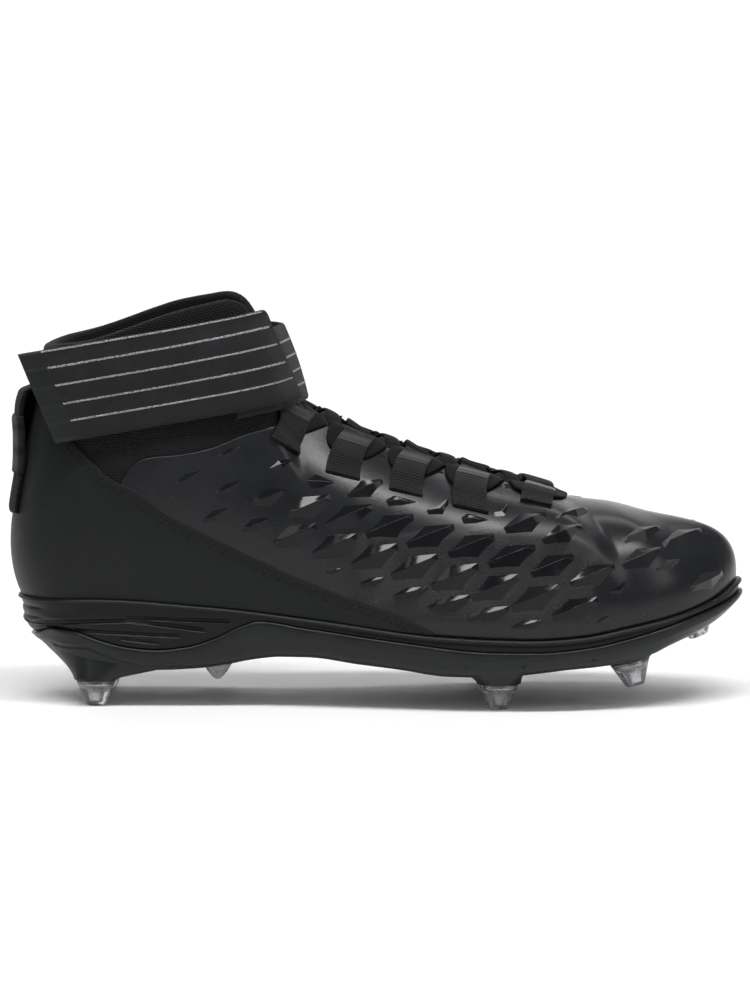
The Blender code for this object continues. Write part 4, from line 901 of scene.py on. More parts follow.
def makeCamera():
    view = {"metresPerPixel": 0.0004256, "imageHeight": 1000, "distance": 2.6, "target": (0.00136, 0.0, 0.0842)}
    data = bpy.data.cameras.new("camera")
    data.sensor_width = 36
    data.lens = data.sensor_width * view["distance"] / (view["metresPerPixel"] * view["imageHeight"])
    data.clip_end = 20
    camera = linked("camera", data)
    back = Vector((0, -math.cos(viewTilt), math.sin(viewTilt)))
    camera.location = Vector(view["target"]) + back * view["distance"]
    camera.rotation_mode = "QUATERNION"
    camera.rotation_quaternion = (-back).to_track_quat("-Z", "Y")
    bpy.context.scene.camera = camera


def stageFinish():
    made, tree, shader = startFinish("paleStage", {"Specular IOR Level": 0.1})
    where = bodyPlace(tree)
    noise = noiseNode(tree, where, 3.0, 3.0)
    pale = mixColors(tree, noise, (0.93, 0.93, 0.93, 1), (0.96, 0.96, 0.96, 1))
    setSocket(shader.inputs["Base Color"], pale)
    setSocket(shader.inputs["Roughness"], mapRange(tree, noise, 0, 1, 0.6, 0.8))
    return made


def makeStage():
    # a pale sweep: flat floor, then a round cove up to a wall behind
    size = {"half": 1.7, "front": -0.95, "back": 1.5, "cove": 0.5, "top": 1.9}
    profile = [(size["front"], 0.0), (size["back"] - size["cove"], 0.0)]
    for a in np.linspace(0, math.pi / 2, 14)[1:]:
        back = size["back"] - size["cove"] + math.sin(a) * size["cove"]
        profile.append((back, size["cove"] - math.cos(a) * size["cove"]))
    profile.append((size["back"], size["top"]))
    points = [(x, y, z) for y, z in profile for x in (-size["half"], size["half"])]
    faces = [(2 * i, 2 * i + 1, 2 * i + 3, 2 * i + 2) for i in range(len(profile) - 1)]
    stage = addObject("paleSweep", points, faces, [stageFinish()])


def areaLight(name, spot, target, size, power):
    data = bpy.data.lights.new(name, "AREA")
    data.shape = "RECTANGLE"
    data.size, data.size_y = size
    data.energy = power
    light = linked(name, data)
    light.location = spot
    light.rotation_mode = "QUATERNION"
    light.rotation_quaternion = (Vector(target) - Vector(spot)).to_track_quat("-Z", "Y")


def makeLights():
    aim = (0.0, 0.0, 0.08)
    areaLight("overheadBox", (0.05, -0.42, 1.25), aim, (1.5, 0.20), 17)
    areaLight("frontFill", (0.0, -1.9, 1.15), aim, (2.2, 1.3), 2.0)
    areaLight("backgroundStrip", (0.0, 0.75, 1.5), (0.0, 1.45, 0.5), (1.8, 0.3), 12)
    areaLight("leftStrip", (-0.95, -1.05, 0.95), aim, (0.22, 1.1), 1.6)
    areaLight("toeStrip", (1.15, -0.55, 0.75), aim, (0.4, 1.0), 2.6)
    world = bpy.data.worlds.new("softRoom")
    world.use_nodes = True
    background = world.node_tree.nodes["Background"]
    background.inputs["Color"].default_value = (0.96, 0.97, 1.0, 1)
    background.inputs["Strength"].default_value = 0.22
    bpy.context.scene.world = world
    bpy.context.scene.view_settings.view_transform = "Standard"


makeCamera()
makeStage()
makeLights()
print("camera, stage and light made")


# The upper

def softTroughs(points, v):
    # shallow flex creases across the vamp and at the ankle: along, depth, reach
    creases = ((0.640, 0.00030, 0.010), (0.700, 0.00035, 0.011), (0.765, 0.00012, 0.010), (0.400, 0.00045, 0.012))
    share = shareAt(points[..., 0])
    depth = np.zeros(points.shape[:2])
    for along, deep, reach in creases:
        lean = 0.10 * (v if np.ndim(v) == 2 else np.asarray(v)[None, :])
        away = (share + lean - 0.05 - along) * last["soleLength"]
        depth += deep * np.exp(-((away / reach) ** 2)) * smoothStep(0.25, 0.7, v)
    return depth


def makeBootie():
    look = {"columns": 360, "rows": 58, "sink": 0.00025, "bulge": 0.34}
    r = np.arange(look["columns"]) * ringCount / look["columns"]
    section, _ = sectionOf(r)
    v = 0.003 + 0.997 * np.linspace(0, 1, look["rows"]) ** 0.92
    points = wallSurface(r, v)
    normals = wallNormals(r, v)
    thick = wallThickness(points)[..., None]
    rise = (points[..., 2] - last["stackHeight"]) / last["collarRise"]
    ankle = smoothStep(0.60, 0.78, rise) * (1 - smoothStep(0.94, 1.06, v[None, :] * np.ones_like(rise)))
    pad = 0.0011 * ankle * np.sin(np.clip((rise - 0.60) / 0.36, 0, 1) * math.pi)
    outer = points + normals * (pad - look["sink"])[..., None]
    inner = points - normals * (thick + 0.4 * pad[..., None])
    closed = section >= last["throatEnd"] - 1e-6
    bootie = shell(
        "bootie", outer, inner, [finishes["knit"], finishes["lining"]], ringed=True, openTop=~closed,
        bulge=look["bulge"], rimSteps=5, merge=0.00003,
    )
    place(bootie, "knit", "upper")


def skinTop(x):
    # upper edge of the film behind the lace loops, as the photograph's view shows it: x, height
    rows = (
        (-0.1040, 0.0900), (-0.1030, 0.0950), (-0.0991, 0.0989), (-0.0944, 0.1006), (-0.0816, 0.1018),
        (-0.0667, 0.1048), (-0.0595, 0.1078), (-0.0523, 0.1108), (-0.0463, 0.1121), (-0.0380, 0.1160),
        (-0.0300, 0.1260), (-0.0260, 0.1500),
    )
    return steadyCurve(rows)(x)


def skinBounds(r):
    low = np.maximum(firstRow(r, seamLevel, False) - 0.012, 0.004)
    section, _ = sectionOf(r)
    low = np.where(section > 7.1, 0.004, low)
    top = np.where(section < 6.2, firstRow(r, skinTop, True), 1.0)
    spread = np.exp(-((np.arange(-8, 9) / 4.0) ** 2))
    top = np.convolve(np.pad(top, 8, mode="edge"), spread / spread.sum(), mode="valid")
    return low, np.maximum(top, low)


def makeFilm():
    look = {"columns": 620, "rows": 74, "over": 0.00050, "sunk": 0.00050, "rear": 2.2}
    # both sides, from the lateral rear round the toe to the medial rear
    r = np.linspace(look["rear"], ringCount - look["rear"], look["columns"])
    low, top = skinBounds(r)
    keep = np.flatnonzero(top - low > 0.02)
    r, low, top = r[keep[0] : keep[-1] + 1], low[keep[0] : keep[-1] + 1], top[keep[0] : keep[-1] + 1]
    v = low[:, None] + (top - low)[:, None] * np.linspace(0, 1, look["rows"])[None, :]
    points = wallSurface(r, v)
    normals = wallNormals(r, v)
    section, _ = sectionOf(r)
    dip = softTroughs(points, v)
    outer = points + normals * (look["over"] - dip)[..., None]
    inner = points - normals * look["sunk"]
    closed = section >= last["throatEnd"] - 1e-6
    film = shell("vampFilm", outer, inner, [finishes["film"]], openTop=~closed, rimSteps=2, merge=0.00003)
    place(film, "upper_skin", "upper")


makeBootie()
makeFilm()
print("bootie and film made")

# The raised scales, where the photograph's view shows them: x, height, long and tall in millimetres

scaleLook = {
    "heightPerLength": 0.112, "highest": 2.3, "edge": 0.32, "skirt": 1.06, "sunk": 0.45, "bevel": 0.00045,
    "miss": 0.0012, "seamMargin": 0.0016, "softRise": 1.20, "softBevel": 0.0009,
}
scaleShapes = {
    # outline of six corners from the rear point, clockwise below, and a ridge of three with heights
    "scale": (
        ((-1.00, -0.45), (-0.84, -1.00), (0.30, -0.86), (0.98, 0.50), (0.92, 1.00), (-0.25, 0.84)),
        ((-0.58, -0.22, 0.75), (0.10, 0.24, 1.00), (0.62, 0.62, 0.85)),
    ),
    "leaf": (
        ((-1.00, -0.55), (-0.88, -1.00), (0.10, -0.72), (0.95, 0.55), (1.00, 1.00), (-0.20, 0.62)),
        ((-0.60, -0.42, 0.80), (0.05, 0.02, 1.00), (0.62, 0.56, 0.80)),
    ),
    "kite": (
        ((-1.00, 0.20), (-0.78, -1.00), (0.10, -0.80), (1.00, -0.30), (0.96, 0.02), (-0.48, 1.00)),
        ((-0.55, 0.02, 0.85), (-0.15, -0.02, 1.00), (0.50, -0.14, 0.60)),
    ),
    "wedge": (
        ((-1.00, -0.20), (-0.78, -1.00), (0.55, -0.86), (0.98, 0.20), (1.00, 1.00), (0.10, 0.30)),
        ((-0.55, -0.28, 0.85), (0.24, -0.20, 1.00), (0.70, 0.38, 0.80)),
    ),
}
scaleChart = [
    (-59.7, 103.6, 11.1, 6.0, "leaf"), (-38.4, 98.4, 11.5, 6.4, "leaf"), (-20.9, 91.2, 12.3, 6.4, "kite"),
    (-2.9, 87.8, 16.6, 9.4, "scale"), (12.4, 82.9, 14.9, 5.5, "kite"), (27.3, 80.3, 10.6, 8.9, "wedge"),
    (43.1, 75.5, 11.9, 4.7, "kite"), (54.1, 79.3, 6.4, 6.4, "wedge"), (64.4, 73.8, 18.7, 8.9, "scale"),
    (80.1, 69.1, 18.7, 8.9, "scale"), (102.9, 46.9, 9.0, 9.8, "wedge"),
]
scaleRows = (
    # first x, first height, last x, last height, then the sizes of each
    (-77.55, 92.65, 92.44, 51.60, (
        (12, 7.7), (12, 7.2), (15.7, 9), (19.6, 11), (21.3, 11.5), (22.1, 11.5), (21.7, 11), (20.9, 11),
        (21.3, 10.6), (19.6, 10.6), (20.4, 11),
    )),
    (-65.9, 77.2, 84.95, 37.7, (
        (12, 7.7), (13, 7.7), (19.6, 11), (20.4, 11.5), (21.3, 12), (21.3, 12), (21.3, 12.8), (21.7, 12.8),
        (22, 12.8), (21.3, 11),
    )),
    (-32.3, 58.2, 64.8, 31.4, ((5, 2.5), (9.4, 3.4), (12.8, 4.7), (16.2, 5.5), (19.2, 7.7), (19.6, 7.2), (15.3, 4.7))),
)
softScales = (
    (84.4, 77.6, 15, 4.5), (113.7, 58.9, 19, 10), (124.4, 55.9, 12, 6), (113.7, 68.6, 18, 8), (131.2, 66.9, 19, 9),
    (128.6, 74.6, 17, 6), (147.3, 62.3, 13, 9), (141.4, 49.1, 16, 10), (96.7, 32.9, 8, 6),
)


def fullScaleChart():
    chart = list(scaleChart)
    for firstX, firstHeight, lastX, lastHeight, sizes in scaleRows:
        for k, (long, tall) in enumerate(sizes):
            share = k / (len(sizes) - 1)
            kind = "leaf" if long < 13 and tall > 7 else "scale"
            x, height = firstX + (lastX - firstX) * share, firstHeight + (lastHeight - firstHeight) * share
            chart.append((x, height, long, tall, kind))
    return chart


def addScale(view, x, h, long, tall, kind, points, faces, rise=1.0):
    outline, ridge = scaleShapes[kind]
    high = rise * min(scaleLook["highest"], long * scaleLook["heightPerLength"]) / 1000
    half = (long / 2000, tall / 2000)
    rings = []
    for grow, lift in ((scaleLook["skirt"], -scaleLook["sunk"] / 1000), (1.0, scaleLook["edge"] * high * 0.5)):
        rings.append([(x / 1000 + a * half[0] * grow, h / 1000 + b * half[1] * grow, lift) for a, b in outline])
    rings.append([(x / 1000 + a * half[0], h / 1000 + b * half[1], high * up) for a, b, up in ridge])
    found = []
    for ring in rings:
        for a, b, lift in ring:
            r, v, miss = view.find(a, b)
            if miss > scaleLook["miss"]:
                return
            found.append(wallSpot(r, v, lift))
    centre = np.mean(found[6:12], 0)
    if centre[2] < seamLevel(centre[0]) + scaleLook["seamMargin"] + tall / 2400:
        return
    base = len(points)
    points.extend(found)
    for i in range(6):
        j = (i + 1) % 6
        faces.append((base + i, base + j, base + 6 + j, base + 6 + i))
    p, q = base + 6, base + 12
    for face in (
        (p + 0, q + 0, q + 1, p + 5), (p + 5, q + 1, q + 2, p + 4), (p + 0, p + 1, q + 0),
        (p + 1, p + 2, q + 1, q + 0), (p + 2, p + 3, q + 2, q + 1), (p + 3, p + 4, q + 2),
    ):
        faces.append(face)
    faces.append(tuple(range(base, base + 6))[::-1])


def roundEdges(piece, width, steps, angle=25):
    bevel = piece.modifiers.new("roundedEdges", "BEVEL")
    bevel.width = width
    bevel.segments = steps
    bevel.limit_method = "ANGLE"
    bevel.angle_limit = math.radians(angle)
    bevel.harden_normals = True
    bevel.use_clamp_overlap = True


def makeScales():
    hard, soft = ([], []), ([], [])
    for side in (-1, 1):
        view = SideView(side)
        for row in fullScaleChart():
            addScale(view, *row, *hard)
        for row in softScales:
            addScale(view, *row, "scale", *soft, rise=scaleLook["softRise"])
    scales = addObject("vampScales", hard[0], hard[1], [finishes["scale"]])
    roundEdges(scales, scaleLook["bevel"], 3)
    place(scales, "upper_skin", "upper")
    swells = addObject("toeSwells", soft[0], soft[1], [finishes["film"]], uv=[(p[0], p[2]) for p in soft[0]])
    roundEdges(swells, scaleLook["softBevel"], 4, 4)
    place(swells, "upper_skin", "upper")


makeScales()
print("scales made")


# The heel quarter and its sewing

quarterLook = {"reach": 6.9, "foot": 0.008, "columns": 420, "rows": 40, "thick": 0.00150, "thin": 0.00095}


def quarterTops(r):
    return firstRow(r, seamLevel, False)


def makeQuarter():
    r = np.linspace(-quarterLook["reach"], quarterLook["reach"], quarterLook["columns"])
    top = quarterTops(r)
    keep = np.flatnonzero(top > quarterLook["foot"] + 0.004)
    r, top = r[keep[0] : keep[-1] + 1], top[keep[0] : keep[-1] + 1]
    share = np.linspace(0, 1, quarterLook["rows"]) ** 0.85
    v = quarterLook["foot"] + (top - quarterLook["foot"])[:, None] * share[None, :]
    points, normals = wallSurface(r, v), wallNormals(r, v)
    below = (arcLengths(points, 1)[:, -1:] - arcLengths(points, 1))
    thick = quarterLook["thin"] + (quarterLook["thick"] - quarterLook["thin"]) * smoothStep(0.0, 0.012, below)
    skin = points + normals * thick[..., None]
    quarter = shell("heelQuarter", skin, points + normals * 0.00012, [finishes["quarter"]])
    place(quarter, "quarter", "heel_quarter")
    return skin, normals


def rowBelowEdge(points, normals, depth):
    # the line that lies so far below the last row of a grid, column by column
    arc = arcLengths(points, 1)
    picked, lifted = [], []
    for i in range(len(points)):
        want = arc[i, -1] - depth
        if want < 0:
            continue
        picked.append([np.interp(want, arc[i], points[i, :, k]) for k in range(3)])
        lifted.append([np.interp(want, arc[i], normals[i, :, k]) for k in range(3)])
    return np.array(picked), np.array(lifted)


def makeSewing(points, normals):
    rows = []
    for depth in (0.0021, 0.0044):
        path, lift = rowBelowEdge(points, normals, depth)
        rows.append(stitches("seamRow", path, lift, finishes["thread"], radius=0.00034, lift=0.00006))
    # a double row along each edge of the throat
    for side in (-1, 1):
        section = np.linspace(5.9, last["throatEnd"] - 0.12, 150)
        r = np.array([ringPlace(s, side) for s in section])
        v = np.linspace(0.5, 1, 90)
        skin, lifts = wallSurface(r, v), wallNormals(r, v)
        for depth in (0.0034, 0.0058):
            path, lift = rowBelowEdge(skin + lifts * 0.0005, lifts, depth)
            rows.append(stitches("throatRow", path, lift, finishes["thread"], radius=0.00022, lift=0.00002))
    sewing = joinAll("sewing", rows)
    place(sewing, "upper_skin", "upper", "heel_quarter")


makeSewing(*makeQuarter())
print("quarter and sewing made")


# The sole

def soleRing(r, offset, height):
    plan = planLine(r)
    moved = plan + planNormal(r)[:, :2] * np.broadcast_to(offset, len(plan))[:, None]
    return np.concatenate([moved, np.broadcast_to(height, len(plan))[:, None]], 1)


def heelBack(x):
    return 1 - smoothStep(0.01, 0.13, shareAt(x))


def toCentre(ring, steps, rise=0.0):
    # rows from an edge ring in to the middle line, which both sides share
    mirror = np.roll(ring[::-1], 1, 0)
    centre = (ring + mirror) / 2
    middle = (ring[:, 0].min() + ring[:, 0].max()) / 2
    centre[:, 0] = middle + (centre[:, 0] - middle) * 0.93
    rows = []
    for t in np.linspace(0, 1, steps + 1)[1:]:
        row = ring + (centre - ring) * t
        row[:, 2] += rise * (1 - (1 - t) ** 2)
        rows.append(row)
    return rows


def wrapRows(name, rows, finishList, rowFinish=None, uvFlat=False):
    # a closed skin from rings listed from the top's middle line to the underside's
    columns = len(rows[0])
    points = np.concatenate(rows)
    faces, mark = [], []
    for k in range(len(rows) - 1):
        for i in range(columns):
            j = (i + 1) % columns
            faces.append((k * columns + i, (k + 1) * columns + i, (k + 1) * columns + j, k * columns + j))
            mark.append(0 if rowFinish is None else rowFinish(k, i))
    uv = points[:, :2] if uvFlat else None
    return addObject(name, points, faces, finishList, uv, mark if len(finishList) > 1 else None, 0.00002)


def lineDistance(x, z, line):
    # distance in the side view from each point to a polyline, and how far along it lies
    best = np.full(x.shape, 1.0)
    for (ax, az), (bx, bz) in zip(line[:-1], line[1:]):
        dx, dz = bx - ax, bz - az
        t = np.clip(((x - ax) * dx + (z - az) * dz) / (dx * dx + dz * dz), 0, 1)
        best = np.minimum(best, np.hypot(x - ax - t * dx, z - az - t * dz))
    return best


grooveLines = (
    # depth, half width, then the line in the side view, all in millimetres
    (2.4, 1.05, ((-103.3, 38.1), (-60.4, 36.8))),
    (2.4, 1.15, ((-146.0, 33.8), (-125.0, 36.0), (-102.5, 36.8), (-83.8, 34.7), (-70.6, 33.0))),
    (2.2, 1.05, ((-124.2, 32.3), (-80.8, 30.4))),
    (2.0, 0.95, ((-105.5, 29.1), (-90.1, 27.2))),
    (0.8, 0.60, ((-144.6, 37.9), (-134.0, 39.1))),
    (0.35, 0.50, ((-30.1, 32.3), (-8.0, 28.2), (12.0, 23.8))),
)


def makeMidsole():
    look = {
        "columns": 760, "rows": 60, "bead": 0.0013, "lipHeight": 0.0004, "beadGroove": 0.00022, "beadDrop": 0.0021,
        "rib": 0.0042, "ribDepth": 0.0008, "painted": 0.0011,
    }
    r = np.arange(look["columns"]) * ringCount / look["columns"]
    x = planLine(r)[:, 0]
    top = soleLevel(featherHeight, x) + look["lipHeight"]
    bottom = soleLevel(plateHeight, x) + 0.0002
    undercut = last["heelUndercut"] * heelBack(x)
    rows = toCentre(soleRing(r, -0.0030, top - look["lipHeight"] - 0.0002), 8)[::-1]
    rows.append(soleRing(r, -0.0030, top - look["lipHeight"] - 0.0002))
    bead = look["bead"]
    for a in np.linspace(0, math.pi / 2, 6):
        rows.append(soleRing(r, last["soleLip"] - bead + bead * math.sin(a), top - bead * (1 - math.cos(a))))
    fore = smoothStep(-0.035, -0.005, x)
    behind = 1 - smoothStep(-0.143, -0.136, x)
    cuts = [np.zeros(len(x))] * len(rows)
    for share in np.linspace(0, 1, look["rows"])[1:]:
        z = top - bead + (bottom - top + bead) * share
        level = (top - z) / (top - bottom)
        lean = last["soleLip"] - undercut * (0.08 * smoothStep(0.05, 0.5, level) + 0.70 * smoothStep(0.60, 1.15, level))
        lean = lean - behind * look["ribDepth"] * (1 - np.abs(np.sin(math.pi * (top - z) / look["rib"])) ** 0.7)
        drop = top - z
        lean = lean - fore * look["beadGroove"] * np.exp(-(((drop - look["beadDrop"]) / 0.0006) ** 2))
        cut = np.zeros(len(x))
        for depth, half, line in grooveLines:
            away = lineDistance(x * 1000, z * 1000, line)
            cut = np.maximum(cut, depth / 1000 * np.exp(-((away / half) ** 4)))
        cuts.append(cut)
        rows.append(soleRing(r, lean - cut, z))
    cuts += [np.zeros(len(x))] * 8
    rows += toCentre(rows[-1], 8)

    # faces cut deeper than the painted depth take the darker groove finish: painted shade in the grooves
    def rowFinish(k, i):
        return int(min(cuts[k][i], cuts[k + 1][i]) > look["painted"])

    midsole = wrapRows("midsole", rows, [finishes["foam"], finishes["groove"]], rowFinish)
    place(midsole, "foam", "midsole")


lugCrease = ((-136.5, 25.1), (-120.0, 25.4), (-114.0, 23.3), (-97.0, 17.4), (-73.5, 17.0), (-54.8, 19.0))


def plateRings(r):
    # the plate's side from its top edge down to the underside's edge
    x = planLine(r)[:, 0]
    top = soleLevel(plateHeight, x) - 0.0001
    bottom = soleLevel(undersideHeight, x)
    offset = steadyCurve((
        (0.00, -0.00045), (0.02, -0.00005), (0.10, 0.0003), (0.35, 0.0004), (0.55, -0.0004), (0.75, -0.0016),
        (0.88, -0.0030), (0.96, -0.0046), (1.0, -0.0064),
    ))
    rings = []
    for s in np.linspace(0, 1, 44) ** 1.15:
        z = top + (bottom - top) * s
        side = last["soleLip"] - last["heelUndercut"] * heelBack(x) * (0.66 + 0.16 * smoothStep(0, 0.35, s))
        crease = 0.0005 * np.exp(-((lineDistance(x * 1000, z * 1000, lugCrease) / 0.7) ** 4))
        rings.append(soleRing(r, side + float(offset(s)) - crease, z))
    return rings


def makePlate():
    look = {"columns": 520, "ribDepth": 0.0007}
    r = np.arange(look["columns"]) * ringCount / look["columns"]
    sides = plateRings(r)
    rows = toCentre(sides[0], 4)[::-1] + sides
    under = toCentre(sides[-1], 30, rise=0.0012)
    for row in under:
        # chevron ribs across the forefoot and a shallow channel under the arch
        x, y = row[:, 0], row[:, 1] + last["originSide"]
        wave = np.abs(np.sin((x * 1000 - np.abs(y) * 1000 * 0.5) / 9.0 * math.pi)) ** 0.5
        fore = smoothStep(-0.01, 0.01, x) * (1 - smoothStep(0.11, 0.13, x))
        edge = smoothStep(0.030, 0.024, np.abs(y))
        row[:, 2] += look["ribDepth"] * wave * fore * edge
    rows += under
    plate = wrapRows("outsolePlate", rows, [finishes["plate"]])
    lugs = [makeLug(*stud[1:]) for stud in studs]
    plate = joinAll("outsolePlate", [plate] + lugs)
    place(plate, "plate", "outsole_plate")


studLook = {"height": 0.0105, "radius": 0.0085, "tip": 0.0042, "margin": 0.0008}
studs = (
    # name, along, out, tip as a share of the stack height, tilt, share of the full height, lug's reach
    ("heel_lateral", 0.108, -0.52, 0.0, 0, 1.0, (0.014, 0.230)),
    ("heel_medial", 0.116, 0.48, 0.0, 0, 1.0, (0.014, 0.230)),
    ("ball_lateral", 0.664, -0.76, 0.0, 0, 1.0, (0.612, 0.704)),
    ("ball_medial", 0.650, 0.70, 0.0, 0, 1.0, (0.600, 0.696)),
    ("front_lateral", 0.853, -0.60, 0.200, 13, 1.0, (0.785, 0.900)),
    ("front_medial", 0.850, 0.66, 0.200, 13, 1.0, (0.785, 0.900)),
    ("toe", 0.950, 0.50, 0.500, 22, 0.62, None),
)


def studPlace(along, out, tip, tilt):
    spot = Vector((station(along), out * last["halfWidth"] - last["originSide"], tip * last["stackHeight"]))
    return Matrix.Translation(spot) @ Matrix.Rotation(math.radians(-tilt), 4, "Y")


def makeLug(along, out, tip, tilt, share, stretch):
    # a lug that grows from the plate's side down to a round seat
    placeAt = studPlace(along, out, tip, tilt)
    count = 72
    radius = studLook["radius"] + studLook["margin"] + 0.0002
    seat = studLook["height"] * share + 0.0003
    centre = np.array(placeAt @ Vector((0, 0, seat)))
    if stretch is None:
        turn = np.arange(count) * 2 * math.pi / count
        topRing = np.stack([centre[0] + 0.0150 * np.cos(turn), centre[1] + 0.0125 * np.sin(turn), np.zeros(count)], 1)
        topRing[:, 2] = soleLevel(undersideHeight, topRing[:, 0]) + 0.0016
    else:
        side = -1 if out < 0 else 1
        line = ringPlace(np.linspace(0, 11, 441), side)
        plan = planLine(line)
        inside = np.flatnonzero((shareAt(plan[:, 0]) > stretch[0]) & (shareAt(plan[:, 0]) < stretch[1]))
        inside = inside[np.linspace(0, len(inside) - 1, 9).astype(int)]
        x = plan[inside, 0]
        low, high = soleLevel(undersideHeight, x), soleLevel(plateHeight, x)
        offset = last["soleLip"] - 0.8 * last["heelUndercut"] * heelBack(x) - 0.0012
        edge = plan[inside] + planNormal(line[inside])[:, :2] * offset[:, None]
        edge = np.concatenate([edge, (low + 0.34 * (high - low))[:, None]], 1)
        middle = centre[1] * 0.42
        inner = [
            (edge[-1, 0] - 0.002, edge[-1, 1] * 0.62 + middle * 0.38, low[-1] + 0.0014),
            (edge[6, 0], middle + 0.25 * (edge[6, 1] - middle), low[6] + 0.0016),
            (edge[4, 0], middle, low[4] + 0.0018),
            (edge[2, 0], middle + 0.25 * (edge[2, 1] - middle), low[2] + 0.0016),
            (edge[0, 0] + 0.002, edge[0, 1] * 0.62 + middle * 0.38, low[0] + 0.0014),
        ]
        loop = ringSpline(np.concatenate([edge, np.array(inner)]))
        topRing = loop(np.arange(count * 6) * 14 / (count * 6))
    turn = np.unwrap(np.arctan2(topRing[:, 1] - centre[1], topRing[:, 0] - centre[0]))
    if turn[-1] < turn[0]:
        topRing, turn = topRing[::-1], turn[::-1]
    closedRing = np.concatenate([topRing, topRing[:1]])
    arc = arcOf(closedRing)
    even = np.arange(count) / count
    topRing = np.stack([np.interp(even * arc[-1], arc, closedRing[:, k]) for k in range(3)], 1)
    # the seat is turned after the ring above it, but never backwards
    swept = np.maximum.accumulate(np.interp(even * arc[-1], arc, np.append(turn, turn[0] + 2 * math.pi))) - turn[0]
    wanted = turn[0] + 0.65 * swept + 0.35 * even * 2 * math.pi

    def circle(size, height):
        return np.array([placeAt @ Vector((size * math.cos(a), size * math.sin(a), height)) for a in wanted])

    seatRing = circle(radius, seat + 0.0008)
    rows = [topRing + np.array([0, 0, 0.0012])]
    for t in np.linspace(0, 1, 12):
        rows.append(topRing + (seatRing - topRing) * t)
    rows += [circle(radius - 0.0001, seat + 0.0003), circle(radius - 0.0006, seat)]
    rows.append(circle(studLook["radius"] - 0.0015, seat + 0.0001))
    return addObject("lug", np.concatenate(rows), ringFaces(len(rows), count), [finishes["plate"]])


def turned(name, profile, placeAt, finish, steps=48):
    # a turned solid from (radius, height) rows
    points, faces = [], []
    for radius, height in profile:
        for k in range(steps):
            a = k * 2 * math.pi / steps
            points.append(placeAt @ Vector((radius * math.cos(a), radius * math.sin(a), height)))
    for i in range(len(profile) - 1):
        for k in range(steps):
            j = (k + 1) % steps
            faces.append((i * steps + k, i * steps + j, (i + 1) * steps + j, (i + 1) * steps + k))
    return addObject(name, points, faces, [finish], merge=0.000004)


# radius, and height as a share of the stud's
steelCore = ((0.0, 0.16), (0.0016, 0.17), (0.0019, 0.24), (0.0025, 0.70), (0.0060, 0.86), (0.0064, 0.93), (0.0, 0.93))


def makeStuds():
    for name, along, out, tip, tilt, share, _ in studs:
        at = studPlace(along, out, tip, tilt)
        full = studLook["height"] * share
        profile = steadyCurve([(0.06, studLook["tip"] + 0.0001), (0.50, 0.0062), (0.96, studLook["radius"] - 0.0001)])
        body = [(0.0, 0.0), (0.0031, 0.0), (0.0036, 0.0001), (0.0040, 0.0003)]
        body += [(float(profile(s)), s * full) for s in np.linspace(0.06, 0.96, 14)]
        body += [(studLook["radius"] - 0.0003, full), (0.0, full)]
        clear = turned("clearBody", body, at, finishes["stud"])
        inner = turned("steelCore", [(radius, full * s) for radius, s in steelCore], at, finishes["steel"], 32)
        stud = joinAll("stud" + "".join(part.capitalize() for part in name.split("_")), [clear, inner])
        place(stud, "stud", "stud_" + name)


def makeTooth():
    look = {"along": 0.274, "out": 0.50, "long": 0.0205, "wide": 0.0090, "tall": 0.0134, "tip": 0.0011}
    x, y = station(look["along"]), look["out"] * last["halfWidth"] - last["originSide"]
    root = float(soleLevel(undersideHeight, x))
    count, rows = 32, []
    turn = np.arange(count) * 2 * math.pi / count
    for t in np.linspace(0, 1, 12):
        size = (1 - t) ** 0.74
        long = look["tip"] + (look["long"] / 2 - look["tip"]) * size
        wide = look["tip"] + (look["wide"] / 2 - look["tip"]) * size
        px = x + long * np.sign(np.cos(turn)) * np.abs(np.cos(turn)) ** 0.8 - 0.0008 * t
        py = y + wide * np.sign(np.sin(turn)) * np.abs(np.sin(turn)) ** 0.8
        base = soleLevel(undersideHeight, px) + 0.0008
        rows.append(np.stack([px, py, base + (root - look["tall"] - base) * t], 1))
    tooth = addObject("archTooth", np.concatenate(rows), ringFaces(len(rows), count), [finishes["tooth"]])
    place(tooth, "stud", "arch_tooth")


def makeInsole():
    look = {"columns": 260, "inset": 0.0043, "thick": 0.0035, "cup": 0.0022}
    r = np.arange(look["columns"]) * ringCount / look["columns"]
    x = planLine(r)[:, 0]
    floor = soleLevel(featherHeight, x) + 0.0005
    high = floor + look["thick"]
    edge = soleRing(r, -look["inset"], high)
    top = toCentre(edge, 22)
    heel = 1 - smoothStep(0.15, 0.45, shareAt(x))
    for k, row in enumerate(top):
        t = (k + 1) / len(top)
        row[:, 2] -= look["cup"] * 0.35 * heel * smoothStep(0, 0.6, t)
    rows = top[::-1] + [edge]
    for a in np.linspace(0, math.pi, 7)[1:]:
        rows.append(soleRing(r, -look["inset"] + 0.0006 * math.sin(a), high - look["thick"] * (1 - math.cos(a)) / 2))
    rows += toCentre(soleRing(r, -look["inset"], floor), 3)
    insole = wrapRows("insole", rows, [finishes["sock"]], uvFlat=True)
    place(insole, "knit", "insole")


makeMidsole()
makePlate()
makeStuds()
makeTooth()
makeInsole()
print("sole made")


# The tongue

tongueLook = {"first": 4.64, "last": 9.3, "thick": 0.0034, "gap": 0.0008, "crown": 0.004, "ankleCrown": 0.005}


